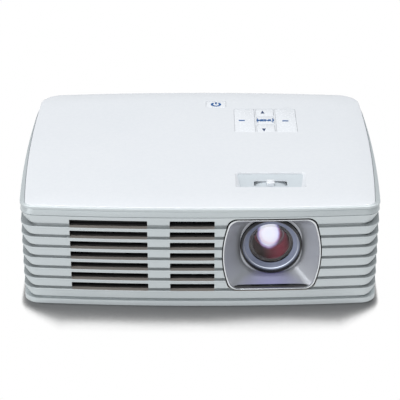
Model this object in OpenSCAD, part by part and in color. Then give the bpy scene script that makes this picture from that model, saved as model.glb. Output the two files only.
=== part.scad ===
// Compact LED projector with a slim tray-loading disc player under its optical engine.
// Millimetres, +Z up, front towards -Y. The origin is on the resting plane, under the middle.

/* [Case] */
// Width of the case at its widest
case_w = 218; // [212:1:232]
// Depth of the case from the front bow to the rear bow
case_d = 170; // [168:1:184]
// How far the sides bow out in plan
side_bow = 3; // [1:0.5:4]
// How far the front bows out in plan
front_bow = 4.5; // [2:0.5:6]
// How far the rear bows out in plan
rear_bow = 5; // [3:0.5:6]
// Plan radius of the front corners
front_corner_r = 8; // [6:1:10]
// Plan radius of the rear corners
rear_corner_r = 12; // [9:1:14]
// Height of the base case above its underside
base_h = 3.5; // [3:0.1:4.5]
// Thickness of the floor and of thin walls
floor_t = 2; // [1.6:0.1:2.4]
// Thickness of the front and rear walls of the housing
wall_t = 3.4; // [3:0.1:4]
// Diameter of the case screws
screw_d = 3; // [2.5:0.1:3.5]

/* [Louvres] */
// Number of grooves round the case
groove_count = 8; // [8:1:8]
// Height from one groove to the next
louvre_pitch = 7.04; // [6.9:0.05:7.3]
// Thickness of the lip on top of each louvre
lip_h = 1.3; // [1:0.1:1.6]
// Height of the thin groove across the front
groove_h = 1.5; // [0.8:0.1:1.7]
// Depth of the thin groove across the front
groove_depth = 2; // [1.5:0.1:2.2]
// How much deeper the grooves are at the sides
louvre_depth = 5; // [4:0.5:5.5]
// How far the louvre faces slope in at the sides
louvre_slope = 3.2; // [2:0.1:4]
// Plan radius of the louvre faces at their lower edge
louvre_corner_r = 9; // [8:1:12]
// Height of the plain face above the first groove
first_face_h = 7.37; // [6.5:0.01:8]
// Height of the plain band at the top of the housing
top_band_h = 4.05; // [3.5:0.05:5]
// Height of one vent slot
slot_h = 4.3; // [3:0.05:4.5]
// Distance of the left vent column from the side
vent_side = 28.95; // [26:0.05:34]
// Share of the vents' width that the left column takes
left_vent_share = 0.537; // [0.4:0.001:0.6]
// Share of the vents' width that the right column takes
right_vent_share = 0.309; // [0.2:0.001:0.35]

/* [Cover] */
// Height of the cover above the housing
cover_h = 2.8; // [2.6:0.1:3.4]
// Wall thickness of the cover
cover_t = 2.2; // [1.8:0.1:2.4]
// Width of the side rim at the front corners
rim_w = 3; // [2:0.5:4]
// Width of the front rim
rim_front = 1; // [0.6:0.1:1.6]
// Width of the focus recess at its rear edge
recess_w = 42.6; // [36:0.2:46]
// Depth of the focus recess from front to back
recess_l = 18.5; // [15:0.5:20]
// Drop of the focus recess below the top
recess_drop = 4; // [3.4:0.1:4.4]

/* [Keys] */
// Width of the key panel
keypad_w = 40.6; // [36:0.2:44]
// Length of the key panel from front to back
keypad_l = 36.5; // [32:0.5:38]
// Width of the middle column of keys
mid_key_w = 11.8; // [10:0.2:14]
// Width of the power button
power_w = 13.4; // [11:0.2:15]
// Length of the power button from front to back
power_l = 10; // [8:0.5:12]
// Travel of every key
key_travel = 0.6; // [0.4:0.1:0.6]
// Gap round every key
key_gap = 0.25; // [0.2:0.05:0.3]

/* [Lens] */
// Height of the optical axis above the base underside
axis_h = 34.7; // [34:0.1:35.2]
// Distance of the optical axis from the right side
axis_inset = 66.3; // [64:0.5:68]
// Width of the lens window at mid height
window_w = 59.5; // [54:0.5:62]
// Height of the lens window
window_h = 48.6; // [46:0.2:50]
// How far the window's sides bulge out
window_bulge = 4.6; // [3:0.2:6]
// Corner radius of the lens window
window_r = 4; // [3:0.5:6]
// Depth of the funnel behind the front
funnel_depth = 13.5; // [12:0.5:15]
// Outer diameter of the black ring at the front of the lens
lens_ring_d = 36.4; // [34:0.2:37]
// Outer diameter of the sliding barrel
barrel_d = 26; // [24:0.5:27]
// Outer diameter of the fixed lens tube
tube_d = 29.8; // [28.6:0.2:31]
// Focus travel of the barrel each way
focus_travel = 1; // [0.5:0.1:1]

/* [Disc drive] */
// Width of the disc drive
drive_w = 128; // [127:0.5:128.5]
// Length of the disc drive behind its front plate
drive_l = 127; // [126:0.5:128]
// Height of the disc drive
drive_h = 12.7; // [12.4:0.1:13]
// Diameter of the disc well in the tray
well_d = 121; // [120.6:0.2:122]
// Thickness of the drive's sheet steel
sheet_t = 0.8; // [0.6:0.1:0.9]
// Thickness of the tray's front plate
fascia_t = 4; // [3:0.5:5]
// Travel of the tray
tray_travel = 112; // [90:1:113]

/* [Cooling] */
// Height of the fan as a share of the bay beside the drive
fan_share = 0.6; // [0.5:0.01:0.65]
// Thickness of the fan
fan_t = 15; // [12:1:16]
// Number of fan blades
blade_count = 7; // [5:1:9]
// Thickness of a cooling fin
fin_t = 1; // [0.8:0.1:1.2]
// Distance from one fin to the next
fin_pitch = 3.6; // [3:0.1:5]
// Diameter of the heat pipes
pipe_d = 5; // [4:0.5:6]

/* [Feet] */
// Height of the feet
foot_h = 3; // [2.5:0.1:4]
// Diameter of the foot pads
foot_d = 14; // [12:0.5:16]
// Diameter of the adjustable foot's stem
stem_d = 8; // [7:0.5:9]
// Travel of the adjustable foot
foot_travel = 6; // [3:0.5:7]
// Radius of the tripod thread
tripod_r = 3.175; // [3:0.005:3.3]
// Depth of the tripod thread
tripod_depth = 8; // [6:0.5:9]

/* [Hidden] */
$fn = 48;

// Clearances
touch = 0.1;        // beside fixed neighbours
free = 0.3;         // beside moving neighbours
running = 0.05;     // radial, round shafts
eps = 0.01;

// Plan of the case
plan_x = case_w / 2 - side_bow;
front_y = -case_d / 2 + front_bow;
rear_y = case_d / 2 - rear_bow;
edge_steps = 9;
corner_steps = 5;

// Heights
z_under = foot_h;
z_floor = z_under + floor_t;
z_base = z_under + base_h;
function groove_z(k) = z_base + louvre_pitch * (groove_count - k);
z_band = groove_z(1) + first_face_h;
z_split = z_band + top_band_h;
z_top = z_split + cover_h;
z_cover_in = z_top - 1.1 * cover_t;
seam_h = 0.5;
seam_set = 0.8;
band_set = 0.15;
face_set = 0.35;
inner_corner_r = 13;
part_y = 62;        // where the louvred wall is parted
trim_ledge = 6;
trim_wall_h = 1.3;
trim_slope_h = 0.4;
crown_inset = 16;

// Lens
axis_x = case_w / 2 - axis_inset;
axis_z = z_under + axis_h;
funnel_y = front_y - front_bow + funnel_depth;
funnel_back_t = 1.5;
tube_y0 = funnel_y + 9;
tube_y1 = funnel_y + 41.5;
knob_w = 4.4;
knob_l = 5;
knob_h = 2.4;
focus_swing = 14;
ring_l = 8;
ring_t = 1.8;
recess_y = tube_y0 + 4.7;
ring_y = recess_y + recess_l / 2 - ring_l / 2;
z_recess = z_top - recess_drop;
arm_w = 4;
knob_base_z = z_recess + 1.2;
shield_r = z_recess - 1.4 - 2 * touch - axis_z;
shield_t = 0.8;
focus_slot = (knob_base_z + knob_h - axis_z) * sin(focus_swing) + knob_w / 2 + touch;

// Keys
keypad_x = axis_x;
keypad_y = rear_y - 42.2;
power_x = keypad_x - 32;
power_y = keypad_y + 25.7;
rib = 0.9;
mid_key_l = (keypad_l - 2 * rib) / 3;
side_key_w = (keypad_w - mid_key_w) / 2 - rib;
key_drop = 0.12;
key_flange_t = 0.6;
key_stem_d = 4;
switch_h = 2.4;
z_switch = z_cover_in - 4;
z_keyboard = z_switch - switch_h;
board_t = 1.6;

// Disc drive
drive_x1 = case_w / 2 - 10;
drive_x0 = drive_x1 - drive_l;
drive_place = 11 / 18.6;  // share of the free depth that lies in front of the drive
funnel_end = funnel_y + funnel_back_t;
drive_y0 = funnel_end + drive_place * (rear_y - wall_t - funnel_end - drive_w);
drive_y1 = drive_y0 + drive_w;
drive_yc = (drive_y0 + drive_y1) / 2;
z_drive = z_floor + 0.6;
z_drive_top = z_drive + drive_h;
well_x = drive_x1 - 63;
rail_w = 2;
rail_h = 5;
tray_gap = free;
chassis_setback = 2;
tray_y0 = drive_y0 + sheet_t + tray_gap + rail_w + tray_gap;
tray_y1 = drive_y1 - sheet_t - tray_gap - rail_w - tray_gap;
z_tray = z_drive + sheet_t + 1.6;
tray_h = 8;
z_well = z_tray + 4.6;
tray_x0 = drive_x0 + 1.5;
tray_x1 = drive_x1 - free;
hub_r = 7.4;
motor_r = 13;
sled_l = 12;
sled_gap_r = motor_r + 1.5;
rod_end = well_d / 2 - 1.5;
rod_start = 6.5;
z_sled_roof = z_well - 0.8;
rod_r = 1;
rod_x = 13;
fascia_h = 11.6;
z_fascia = z_drive + 0.5;
shelf_t = 1;
z_shelf = z_drive_top + shelf_t;

// Screw posts and feet
post_d = 8;
post_x_front = plan_x - 14;
post_x_rear = plan_x - 20;
post_y_front = front_y + 12.5;
post_y_rear = rear_y - 6.4;
z_post = z_under + 27;
screw_head_d = 5.8;
screw_head_h = 2.2;
screw_seat = 6;
screw_free = 0.3;
standoff_r = 2.5;
foot_x = 0;
foot_y = front_y + 13.5;
foot_boss_d = 12;
foot_boss_h = foot_travel + 4;
rear_foot_x = plan_x - 26;
rear_foot_y = rear_y - 16;
tripod_x = drive_x0 - 13;
tripod_y = 5;
nut_d = 10;

// Cooling
vent_x1 = axis_x - window_w / 2 - 4.3;
left_vent_x0 = vent_side - plan_x;
vent_span = vent_x1 - left_vent_x0;
left_vent_x1 = left_vent_x0 + left_vent_share * vent_span;
vent_x0 = vent_x1 - right_vent_share * vent_span;
grille_t = 2;
side_bay = drive_x0 + plan_x - wall_t - louvre_depth;
fan_size = fan_share * side_bay + 8.24;
fan_x = drive_x0 - 2.5 - fan_size / 2;
fan_y = front_y + 8.5;
fan_z = z_floor + fan_size / 2;
rotor_r = fan_size / 2 - 2.5;
rotor_hub_r = 11;
main_sink_y0 = fan_y + fan_t + touch;
main_sink_y1 = main_sink_y0 + 37;
engine_x0 = axis_x - 25;
engine_x1 = axis_x + 25;
engine_y0 = tube_y1;
engine_y1 = engine_y0 + 60;
z_engine_lid = axis_z + 13;
z_engine_top = z_engine_lid + 6;
pipe_y = engine_y0 + 4;
pipe_pitch_y = 7;
pipe_z = axis_z + 3;
spreader_t = 7;

// Boards and sockets
panel_y = rear_y - 0.4;
panel_t = 1.6;
z_panel = z_shelf + 0.5;
panel_h = 22;
board_y1 = panel_y - 2.5;
board_y0 = board_y1 - 40;
board_x = plan_x - 24.5;
panel_w = 2 * board_x - 7;
z_board = z_shelf + 2.7;
z_sockets = z_board + board_t;
socket_y1 = panel_y + panel_t;
dc_x = 19.5 - board_x;
av_x = dc_x + 24;
usb_x = -12;
hdmi_x = 12;
vga_x = board_x - 33.5;
dc_r = 3.2;

silver = [0.76, 0.79, 0.80];
pearl = [0.93, 0.94, 0.95];
dark = [0.16, 0.16, 0.17];
metal = [0.62, 0.63, 0.66];
board_green = [0.05, 0.30, 0.16];

// Points of a quarter circle
function corner(cx, cy, r, a0) =
    [for (i = [0:corner_steps]) let (a = a0 + 90 * i / corner_steps) [cx + r * cos(a), cy + r * sin(a)]];

// Points between two ends, without the ends
function between(p, q) = [for (i = [1:edge_steps - 1]) p + (q - p) * i / edge_steps];

// Rounded rectangle, anticlockwise from the front left corner
function rounded(hx, y0, y1, rf, rr) = concat(
    corner(-hx + rf, y0 + rf, rf, 180), between([-hx + rf, y0], [hx - rf, y0]),
    corner(hx - rf, y0 + rf, rf, 270), between([hx, y0 + rf], [hx, y1 - rr]),
    corner(hx - rr, y1 - rr, rr, 0), between([hx - rr, y1], [-hx + rr, y1]),
    corner(-hx + rr, y1 - rr, rr, 90), between([-hx, y1 - rr], [-hx, y0 + rf]));

// Bows the four sides of a rectangle outwards
function bowed(p) = let (end_y = p.y < 0 ? front_y : rear_y, bow = p.y < 0 ? -front_bow : rear_bow) [
    p.x * (1 + side_bow / plan_x * (1 - pow(p.y / end_y, 2))),
    p.y + bow * p.y / end_y * (1 - pow(p.x / plan_x, 2))];

// Plan of the case, set in all round by inset and by side more at the two sides
function plan(inset = 0, side = 0, rf = front_corner_r, rr = rear_corner_r) =
    [for (p = rounded(plan_x - inset - side, front_y + inset, rear_y - inset, rf, rr)) bowed(p)];

// Plan of the cover: the rim beside it runs out to nothing towards the rear
rim_end_y = rear_y - 8;
function cover_plan(inset = 0) = [for (p = plan(inset, 0, front_corner_r - rim_w, rear_corner_r)) [
    p.x * (1 - max(0, rim_w * (rim_end_y - p.y) / (rim_end_y - front_y)) / plan_x),
    p.y + (p.y < 0 ? rim_front * p.y / front_y : 0)]];

// Outline of the lens window in X and Z, with bulging sides
function window_pts(inset = 0) = let (hw = window_w / 2 - window_bulge - inset, hh = window_h / 2 - inset)
    [for (p = rounded(hw, -hh, hh, window_r, window_r))
        [axis_x + p.x * (1 + window_bulge / hw * (1 - pow(p.y / hh, 2))), axis_z + p.y]];

module slab(pts, z0, z1) translate([0, 0, z0]) linear_extrude(z1 - z0) polygon(pts);
module box(low, high) translate(low) cube(high - low);
module rod_z(x, y, r, z0, z1) translate([x, y, z0]) cylinder(r = r, h = z1 - z0);
module rod_y(x, z, r, y0, y1) translate([x, y1, z]) rotate([90, 0, 0]) cylinder(r = r, h = y1 - y0);
module rod_x(y, z, r, x0, x1) translate([x0, y, z]) rotate([0, 90, 0]) cylinder(r = r, h = x1 - x0);
// Outline drawn in X and Z, carried along Y
module slab_y(pts, y0, y1) translate([0, y1, 0]) rotate([90, 0, 0]) linear_extrude(y1 - y0) polygon(pts);

module at_posts() {
    for (sx = [-1, 1]) {
        translate([sx * post_x_front, post_y_front]) children();
        translate([sx * post_x_rear, post_y_rear]) children();
    }
}

// Space that the drive's front takes through the right wall
module drive_mouth() box([drive_x1 - 14, drive_y0 + 0.4, z_fascia - 0.5],
    [case_w, drive_y1 - 0.4, z_fascia + fascia_h + 0.5]);

module inner_space(z0, z1) slab(plan(wall_t, louvre_depth, inner_corner_r, inner_corner_r), z0, z1);

module base_case() color(silver) difference() {
    union() {
        difference() {
            union() {
                slab(plan(1.2), z_under, z_under + 1);
                slab(plan(), z_under + 1, z_base);
            }
            inner_space(z_floor, z_base + 1);
        }
        for (y = [drive_y0 + 4, drive_y1 - 7])
            box([drive_x0, y, z_floor - eps], [drive_x1 - 15, y + 3, z_drive]);
    }
    drive_mouth();
    at_posts() rod_z(0, 0, screw_head_d / 2 + screw_free, z_under - 1, z_base);
    rod_z(foot_x, foot_y, stem_d / 2 + running, z_under - 1, z_base);
    rod_z(tripod_x, tripod_y, nut_d / 2 + touch, z_under - 1, z_base);
}

// Upright posts on the floor: for the case screws, the foot, the tripod nut and the two boards
module base_standoffs() color(silver) {
    difference() {
        union() {
            at_posts() rod_z(0, 0, post_d / 2, z_floor, z_post);
            rod_z(foot_x, foot_y, foot_boss_d / 2, z_floor, z_under + foot_boss_h);
            rod_z(tripod_x, tripod_y, nut_d / 2 + 2, z_floor, z_under + tripod_depth + 2);
        }
        at_posts() {
            rod_z(0, 0, screw_d / 2 + 0.2, z_floor, z_post + 1);
            rod_z(0, 0, screw_head_d / 2 + screw_free, z_floor - 1, z_under + screw_seat);
        }
        rod_z(foot_x, foot_y, stem_d / 2 + running, z_floor - 1, z_under + foot_boss_h + 1);
        rod_z(tripod_x, tripod_y, nut_d / 2 + touch, z_floor - 1, z_under + tripod_depth + touch);
    }
    for (x = [driver_x0 + 4, driver_x1 - 4], y = [driver_y0 + 4, driver_y1 - 4])
        rod_z(x, y, standoff_r, z_floor, z_driver);
    for (x = [-board_x + 4, drive_x0 - 8], y = [board_y0 + 4, board_y1 - 4])
        rod_z(x, y, standoff_r, z_floor, z_board);
}

// One louvre face: full width at its top, curving in at the sides and corners towards its foot
function louvre_plan(share) = plan(face_set, louvre_slope * share,
    front_corner_r + (louvre_corner_r - front_corner_r) * share, rear_corner_r);
module louvre_face(z0, z1) hull() {
    slab(louvre_plan(0), z1 - eps, z1);
    slab(louvre_plan(0.35), z0 + (z1 - z0) / 2, z0 + (z1 - z0) / 2 + eps);
    slab(louvre_plan(1), z0, z0 + eps);
}

module vent_column(x0, x1) for (k = [1:groove_count - 1])
    box([x0, -case_d, groove_z(k)], [x1, front_y + wall_t + 4, groove_z(k) + slot_h]);

module louvred_wall() difference() {
    union() {
        slab(plan(groove_depth, louvre_depth, louvre_corner_r - 1, rear_corner_r - 1), z_base, z_split);
        slab(plan(band_set), z_band, z_split - seam_h);
        slab(plan(seam_set), z_split - seam_h - eps, z_split);
        for (k = [1:groove_count - 1]) slab(plan(), groove_z(k) - lip_h, groove_z(k));
        louvre_face(groove_z(1) + groove_h, z_band + eps);
        for (k = [2:groove_count]) louvre_face(groove_z(k) + groove_h, groove_z(k - 1) - lip_h + eps);
    }
    inner_space(z_base - 1, z_split + 1);
}

// One stretch of the louvred wall, between two corners of a box
module wall_part(low, high) color(silver) difference() {
    intersection() {
        louvred_wall();
        box(low, high);
    }
    children();
}

module front_louvres() wall_part([-case_w, -case_d, z_base - 1], [case_w, -part_y, z_top]) {
    vent_column(left_vent_x0, left_vent_x1);
    vent_column(vent_x0, vent_x1);
    slab_y(window_pts(), -case_d, front_y + wall_t + 4);
}
module side_louvres() wall_part([-case_w, -part_y, z_base - 1], [case_w, part_y, z_top]) drive_mouth();
module rear_louvres() wall_part([-case_w, part_y, z_base - 1], [case_w, case_d, z_top]) {
    box([-panel_w / 2, rear_y - wall_t - 4, z_panel], [panel_w / 2, case_d, z_panel + panel_h]);
    drive_mouth();
}

module cover_trim() color(silver) difference() {
    union() {
        slab(plan(), z_split, z_split + trim_wall_h);
        hull() {
            slab(plan(), z_split + trim_wall_h - eps, z_split + trim_wall_h);
            slab(plan(rim_front), z_split + trim_wall_h + trim_slope_h, z_split + trim_wall_h + trim_slope_h + eps);
        }
    }
    slab(plan(trim_ledge, 2), z_split - 1, z_top);
    slab(cover_plan(-touch), z_split + seam_h, z_top);
    at_posts() rod_z(0, 0, post_d / 2, z_split - 1, z_top);
}

// Box in the outline of a key, made larger all round by grow
module key_shape(x, y, w, l, z0, z1, grow = 0) box(
    [x - w / 2 - grow, y - l / 2 - grow, z0], [x + w / 2 + grow, y + l / 2 + grow, z1]);

// Centre and size of each key of the panel
mid_step = mid_key_l + rib;
side_step = (mid_key_w + side_key_w) / 2 + rib;
up_key = [keypad_x, keypad_y + mid_step, mid_key_w, mid_key_l];
down_key = [keypad_x, keypad_y - mid_step, mid_key_w, mid_key_l];
menu_key = [keypad_x, keypad_y, mid_key_w, mid_key_l];
left_key = [keypad_x - side_step, keypad_y, side_key_w, keypad_l];
right_key = [keypad_x + side_step, keypad_y, side_key_w, keypad_l];
power_key = [power_x, power_y, power_w, power_l];
all_keys = [up_key, down_key, menu_key, left_key, right_key, power_key];

// Focus recess in plan: its right side slants
function recess_pts(inset = 0) = let (x0 = axis_x - recess_w / 2 + inset, x1 = axis_x + recess_w / 2 - inset)
    [[x0, recess_y + inset], [x1 - 5.5, recess_y + inset], [x1, recess_y + recess_l - inset],
     [x0, recess_y + recess_l - inset]];

keyboard_x0 = power_x - 12.5;
keyboard_x1 = keypad_x + keypad_w / 2 + 6.5;
keyboard_y0 = keypad_y - keypad_l / 2 - 3;
keyboard_y1 = power_y + 6;

module top_cover() color(pearl) difference() {
    union() {
        difference() {
            hull() {
                slab(cover_plan(), z_split + seam_h, z_top - 1.6);
                slab(cover_plan(1), z_top - 1.6, z_top - 0.9);
                slab(cover_plan(crown_inset), z_top - eps, z_top);
            }
            slab(cover_plan(cover_t), z_split, z_cover_in);
        }
        slab(recess_pts(-1.6), z_recess - 1.4, z_cover_in + 1);
    }
    slab(recess_pts(), z_recess, z_top + 1);
    box([axis_x - focus_slot, ring_y + ring_l / 2 - knob_l / 2 - free, z_recess - 3],
        [axis_x + focus_slot, ring_y + ring_l / 2 + knob_l / 2 + free, z_recess + 1]);
    for (k = all_keys) key_shape(k[0], k[1], k[2], k[3], z_cover_in - 1, z_top + 1);
}

// Posts under the cover: for the case screws and the keypad board
module cover_standoffs() color(pearl) {
    at_posts() difference() {
        rod_z(0, 0, post_d / 2 - 0.5, z_post, z_cover_in);
        rod_z(0, 0, screw_d / 2 + running, z_post - 1, z_post + 12);
    }
    for (x = [keyboard_x0 + 3, keyboard_x1 - 3], y = [keyboard_y0 + 3, keyboard_y1 - 3])
        rod_z(x, y, 2, z_keyboard, z_cover_in);
}

// Key cap with a hidden flange and a stem that ends over its switch
module key(k) color(pearl) {
    key_shape(k[0], k[1], k[2], k[3], z_cover_in - key_flange_t, z_top - key_drop, -key_gap);
    key_shape(k[0], k[1], k[2], k[3], z_cover_in - touch - key_flange_t, z_cover_in - touch, -key_gap + key_grow);
    rod_z(k[0], k[1], key_stem_d / 2, z_switch + key_travel + touch, z_cover_in - key_flange_t);
}
key_grow = rib / 2;

module keypad_board() color(board_green) {
    box([keyboard_x0, keyboard_y0, z_keyboard - board_t], [keyboard_x1, keyboard_y1, z_keyboard]);
    for (k = all_keys) box([k[0] - 3, k[1] - 3, z_keyboard - eps], [k[0] + 3, k[1] + 3, z_switch]);
}

module rear_panel() color(dark) difference() {
    box([-panel_w / 2 + touch, panel_y, z_panel + touch],
        [panel_w / 2 - touch, panel_y + panel_t, z_panel + panel_h - touch]);
    rod_y(dc_x, z_sockets + 5.5, 5 + touch, panel_y - 1, socket_y1 + 1);
    for (dx = [-6, 6]) rod_y(av_x + dx, z_sockets + 5, 3.5 + touch, panel_y - 1, socket_y1 + 1);
    socket_hole(usb_x, 14.4, 7);
    socket_hole(hdmi_x, 15.4, 6.4);
    socket_hole(vga_x, 31, 12.6);
}
module socket_hole(x, w, h) box([x - w / 2 - touch, panel_y - 1, z_sockets - touch],
    [x + w / 2 + touch, socket_y1 + 1, z_sockets + h + touch]);

// Dark plate behind the vents: it shows in the lower part of each slot
module intake_grille() color(dark) difference() {
    intersection() {
        difference() {
            slab(plan(wall_t + touch), groove_z(groove_count - 1) - 2.5, groove_z(1) + slot_h + 2);
            slab(plan(wall_t + touch + grille_t), z_base, z_split);
        }
        box([left_vent_x0 - 3, -case_d, z_base], [vent_x1 + 2.4, 0, z_split]);
    }
    for (k = [1:groove_count - 1]) for (c = [[left_vent_x0, left_vent_x1], [vent_x0, vent_x1]])
        box([c[0], -case_d, groove_z(k) + slot_h / 5], [c[1], 0, groove_z(k) + slot_h + 1]);
}

module lens_rim() color(silver) difference() {
    intersection() {
        slab_y(window_pts(touch), -case_d, front_y + wall_t);
        slab(plan(), z_base, z_split);
    }
    slab(plan(groove_depth), z_base, z_split);
    slab_y(window_pts(1.2), -case_d, 0);
}

// Four-sided funnel from the window to a plate round the lens
module lens_funnel() color(metal) difference() {
    intersection() {
        union() {
            slab_y(window_pts(touch), -case_d, front_y + 3);
            hull() {
                slab_y(window_pts(touch), front_y + 3 - eps, front_y + 3);
                slab_y(funnel_back(22.5), funnel_y + funnel_back_t - eps, funnel_y + funnel_back_t);
            }
        }
        slab(plan(groove_depth + eps), z_base, z_split);
    }
    hull() {
        slab_y(window_pts(1.2), front_y - front_bow, front_y - front_bow + eps);
        slab_y(funnel_back(20.5), funnel_y - eps, funnel_y);
    }
    rod_y(axis_x, axis_z, lens_ring_d / 2 + free, funnel_y - 3, funnel_y + 4);
}
function funnel_back(h) = [[axis_x - h, axis_z - h + 1], [axis_x + h, axis_z - h + 1],
    [axis_x + h, axis_z + h - 1], [axis_x - h, axis_z + h - 1]];

module lens_tube() color(dark) difference() {
    union() {
        rod_y(axis_x, axis_z, tube_d / 2, tube_y0, tube_y1);
        rod_y(axis_x, axis_z, tube_d / 2 + 2.5, ring_y + ring_l + free, ring_y + ring_l + free + 2);
        box([axis_x - 21, tube_y1 - 3, axis_z - 17], [axis_x + 21, tube_y1, axis_z + 15]);
    }
    rod_y(axis_x, axis_z, barrel_d / 2 + running, tube_y0 - 1, tube_y1 + 1);
}

// Ring on the tube, with the arm that carries the knob
module focus_ring() color(dark) difference() {
    union() {
        rod_y(axis_x, axis_z, tube_d / 2 + running + ring_t, ring_y, ring_y + ring_l);
        box([axis_x - arm_w / 2, ring_y + ring_l / 2 - knob_l / 2, axis_z],
            [axis_x + arm_w / 2, ring_y + ring_l / 2 + knob_l / 2, knob_base_z]);
        for (a = [0:15:345]) translate([axis_x, 0, axis_z]) rotate([0, a, 0])
            box([tube_d / 2 + ring_t - 0.2, ring_y, -0.6], [tube_d / 2 + ring_t + 0.6, ring_y + ring_l, 0.6]);
    }
    rod_y(axis_x, axis_z, tube_d / 2 + running, ring_y - 1, ring_y + ring_l + 1);
}

// Knob on the arm, and a curved shield round the arm that keeps the slot shut while it swings
module focus_knob() color(pearl) {
    yc = ring_y + ring_l / 2;
    reach = focus_swing + asin((focus_slot + touch) / shield_r);
    box([axis_x - knob_w / 2, yc - knob_l / 2, knob_base_z],
        [axis_x + knob_w / 2, yc + knob_l / 2, knob_base_z + knob_h - 0.6]);
    rod_z(axis_x, yc, knob_w / 2 - 0.2, knob_base_z, knob_base_z + knob_h);
    difference() {
        intersection() {
            rod_y(axis_x, axis_z, shield_r, yc - knob_l / 2 - 1, yc + knob_l / 2 + 1);
            slab_y([for (p = [[0, 0], [-sin(reach), cos(reach)], [0, 1], [sin(reach), cos(reach)]])
                [axis_x, axis_z] + 2 * shield_r * p], yc - knob_l, yc + knob_l);
        }
        rod_y(axis_x, axis_z, shield_r - shield_t, yc - knob_l, yc + knob_l);
        box([axis_x - arm_w / 2 - touch, yc - knob_l / 2 - touch, axis_z],
            [axis_x + arm_w / 2 + touch, yc + knob_l / 2 + touch, z_top]);
    }
}

// Sliding barrel: a wide cup for the front lens, then a stem that runs in the tube
cup_y = funnel_y - focus_travel;
cup_l = 6.5;
lens_r = lens_ring_d / 2 - 1.7;
module lens_barrel() color(dark) difference() {
    union() {
        rod_y(axis_x, axis_z, lens_ring_d / 2, cup_y, cup_y + cup_l);
        rod_y(axis_x, axis_z, barrel_d / 2, cup_y + cup_l - eps, tube_y1 - 5);
    }
    rod_y(axis_x, axis_z, lens_r, cup_y - 1, cup_y + cup_l - 1.5);
    rod_y(axis_x, axis_z, barrel_d / 2 - 2, cup_y, tube_y1);
}

// Front lens: a dome in front, flat behind
dome_r = 2.303 * lens_r;
lens_set = 0.6;
lens_edge_z = cup_l - 1.5 - touch;
dome_steps = 8;
module front_lens() color([0.6, 0.7, 0.85, 0.4]) translate([axis_x, cup_y, axis_z]) rotate([-90, 0, 0])
    rotate_extrude() polygon(concat(
        [for (i = [0:dome_steps]) let (r = (lens_r - touch) * i / dome_steps)
            [r, lens_set + dome_r - sqrt(dome_r * dome_r - r * r)]],
        [[lens_r - touch, lens_edge_z], [0, lens_edge_z]]));

// Stepped black cone behind the front lens
baffle_y = cup_y + cup_l;
cone_r = barrel_d / 2 - 2 - touch;
cone_l = 8;
module baffle_cone() color(dark) translate([axis_x, baffle_y, axis_z]) rotate([-90, 0, 0])
    rotate_extrude() polygon([[cone_r, -1.5], [cone_r, cone_l], [cone_r - 2.4, cone_l], [cone_r - 2.4, cone_l - 1],
                              [cone_r - 0.9, 0], [cone_r - 0.5, -1.5]]);

module inner_lens() color([0.9, 0.92, 1]) translate([axis_x, baffle_y + cone_l, axis_z]) rotate([-90, 0, 0])
    rotate_extrude() polygon([[0, -1.5], [cone_r - 6.9, -1.1], [cone_r - 2.6, touch], [cone_r, touch],
                              [cone_r, 4], [0, 4]]);

// Cast housing of the optical engine, hollow, with a window at each light port
module engine_base() color(metal) difference() {
    union() {
        box([engine_x0, engine_y0, z_shelf], [engine_x1, engine_y1, z_engine_lid]);
        for (y = [engine_y0 + 8, engine_y1 - 8])
            box([engine_x1, y - 3, z_shelf], [engine_x1 + 6, y + 3, z_shelf + 3]);
    }
    box([engine_x0 + 3, engine_y0 + 3, z_shelf + 3], [engine_x1 - 3, engine_y1 - 3, z_engine_lid + 1]);
    rod_y(axis_x, axis_z, 11, engine_y0 - 1, engine_y0 + 4);
    box([axis_x - 9, engine_y1 - 4, axis_z - 7], [axis_x + 9, engine_y1 + 1, axis_z + 7]);
    box([engine_x0 - 1, pipe_y - 1, axis_z - 5], [engine_x0 + 4, pipe_y + pipe_pitch_y + 1, axis_z + 9]);
    for (y = [green_y, red_y]) box([engine_x1 - 4, y - 5, axis_z - 5], [engine_x1 + 1, y + 5, axis_z + 5]);
}
green_y = engine_y0 + 16;
red_y = engine_y0 + 44;

module engine_lid() color(metal) {
    box([engine_x0, engine_y0, z_engine_lid], [engine_x1, engine_y1, z_engine_lid + 2]);
    for (x = [engine_x0 + 6:9.5:engine_x1 - 6])
        box([x - 0.8, engine_y0 + 4, z_engine_lid + 2 - eps], [x + 0.8, engine_y1 - 4, z_engine_top]);
}

module dmd_board() color(board_green) {
    box([axis_x - 22, engine_y1, axis_z - 13], [axis_x + 22, engine_y1 + board_t, axis_z + 12]);
    box([axis_x - 8, engine_y1 - 2, axis_z - 6], [axis_x + 8, engine_y1 + eps, axis_z + 6]);
}

module dmd_heatsink() {
    box([axis_x - 12, engine_y1 + board_t, axis_z - 10], [axis_x + 12, engine_y1 + board_t + 2, axis_z + 10]);
    for (z = [axis_z - 10:4:axis_z + 8])
        box([axis_x - 12, engine_y1 + board_t + 2 - eps, z], [axis_x + 12, engine_y1 + board_t + 8, z + fin_t]);
}

module led_blue() color([0.75, 0.45, 0.25]) difference() {
    box([engine_x0 - spreader_t, pipe_y - 4, pipe_z - 9], [engine_x0, pipe_y + pipe_pitch_y + 4, pipe_z + 7]);
    for (i = [0, 1]) rod_x(pipe_y + i * pipe_pitch_y, pipe_z - 5 * i, pipe_d / 2 + running,
                           engine_x0 - spreader_t - 1, engine_x0 - 1);
}

// Green and red LED modules on the right of the engine
module led_modules() color([0.75, 0.45, 0.25]) for (y = [green_y, red_y]) {
    box([engine_x1, y - 9, axis_z - 9], [engine_x1 + 3, y + 9, axis_z + 9]);
    box([engine_x1 - 1, y - 2, axis_z - 2], [engine_x1 + eps, y + 2, axis_z + 2]);
}

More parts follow.
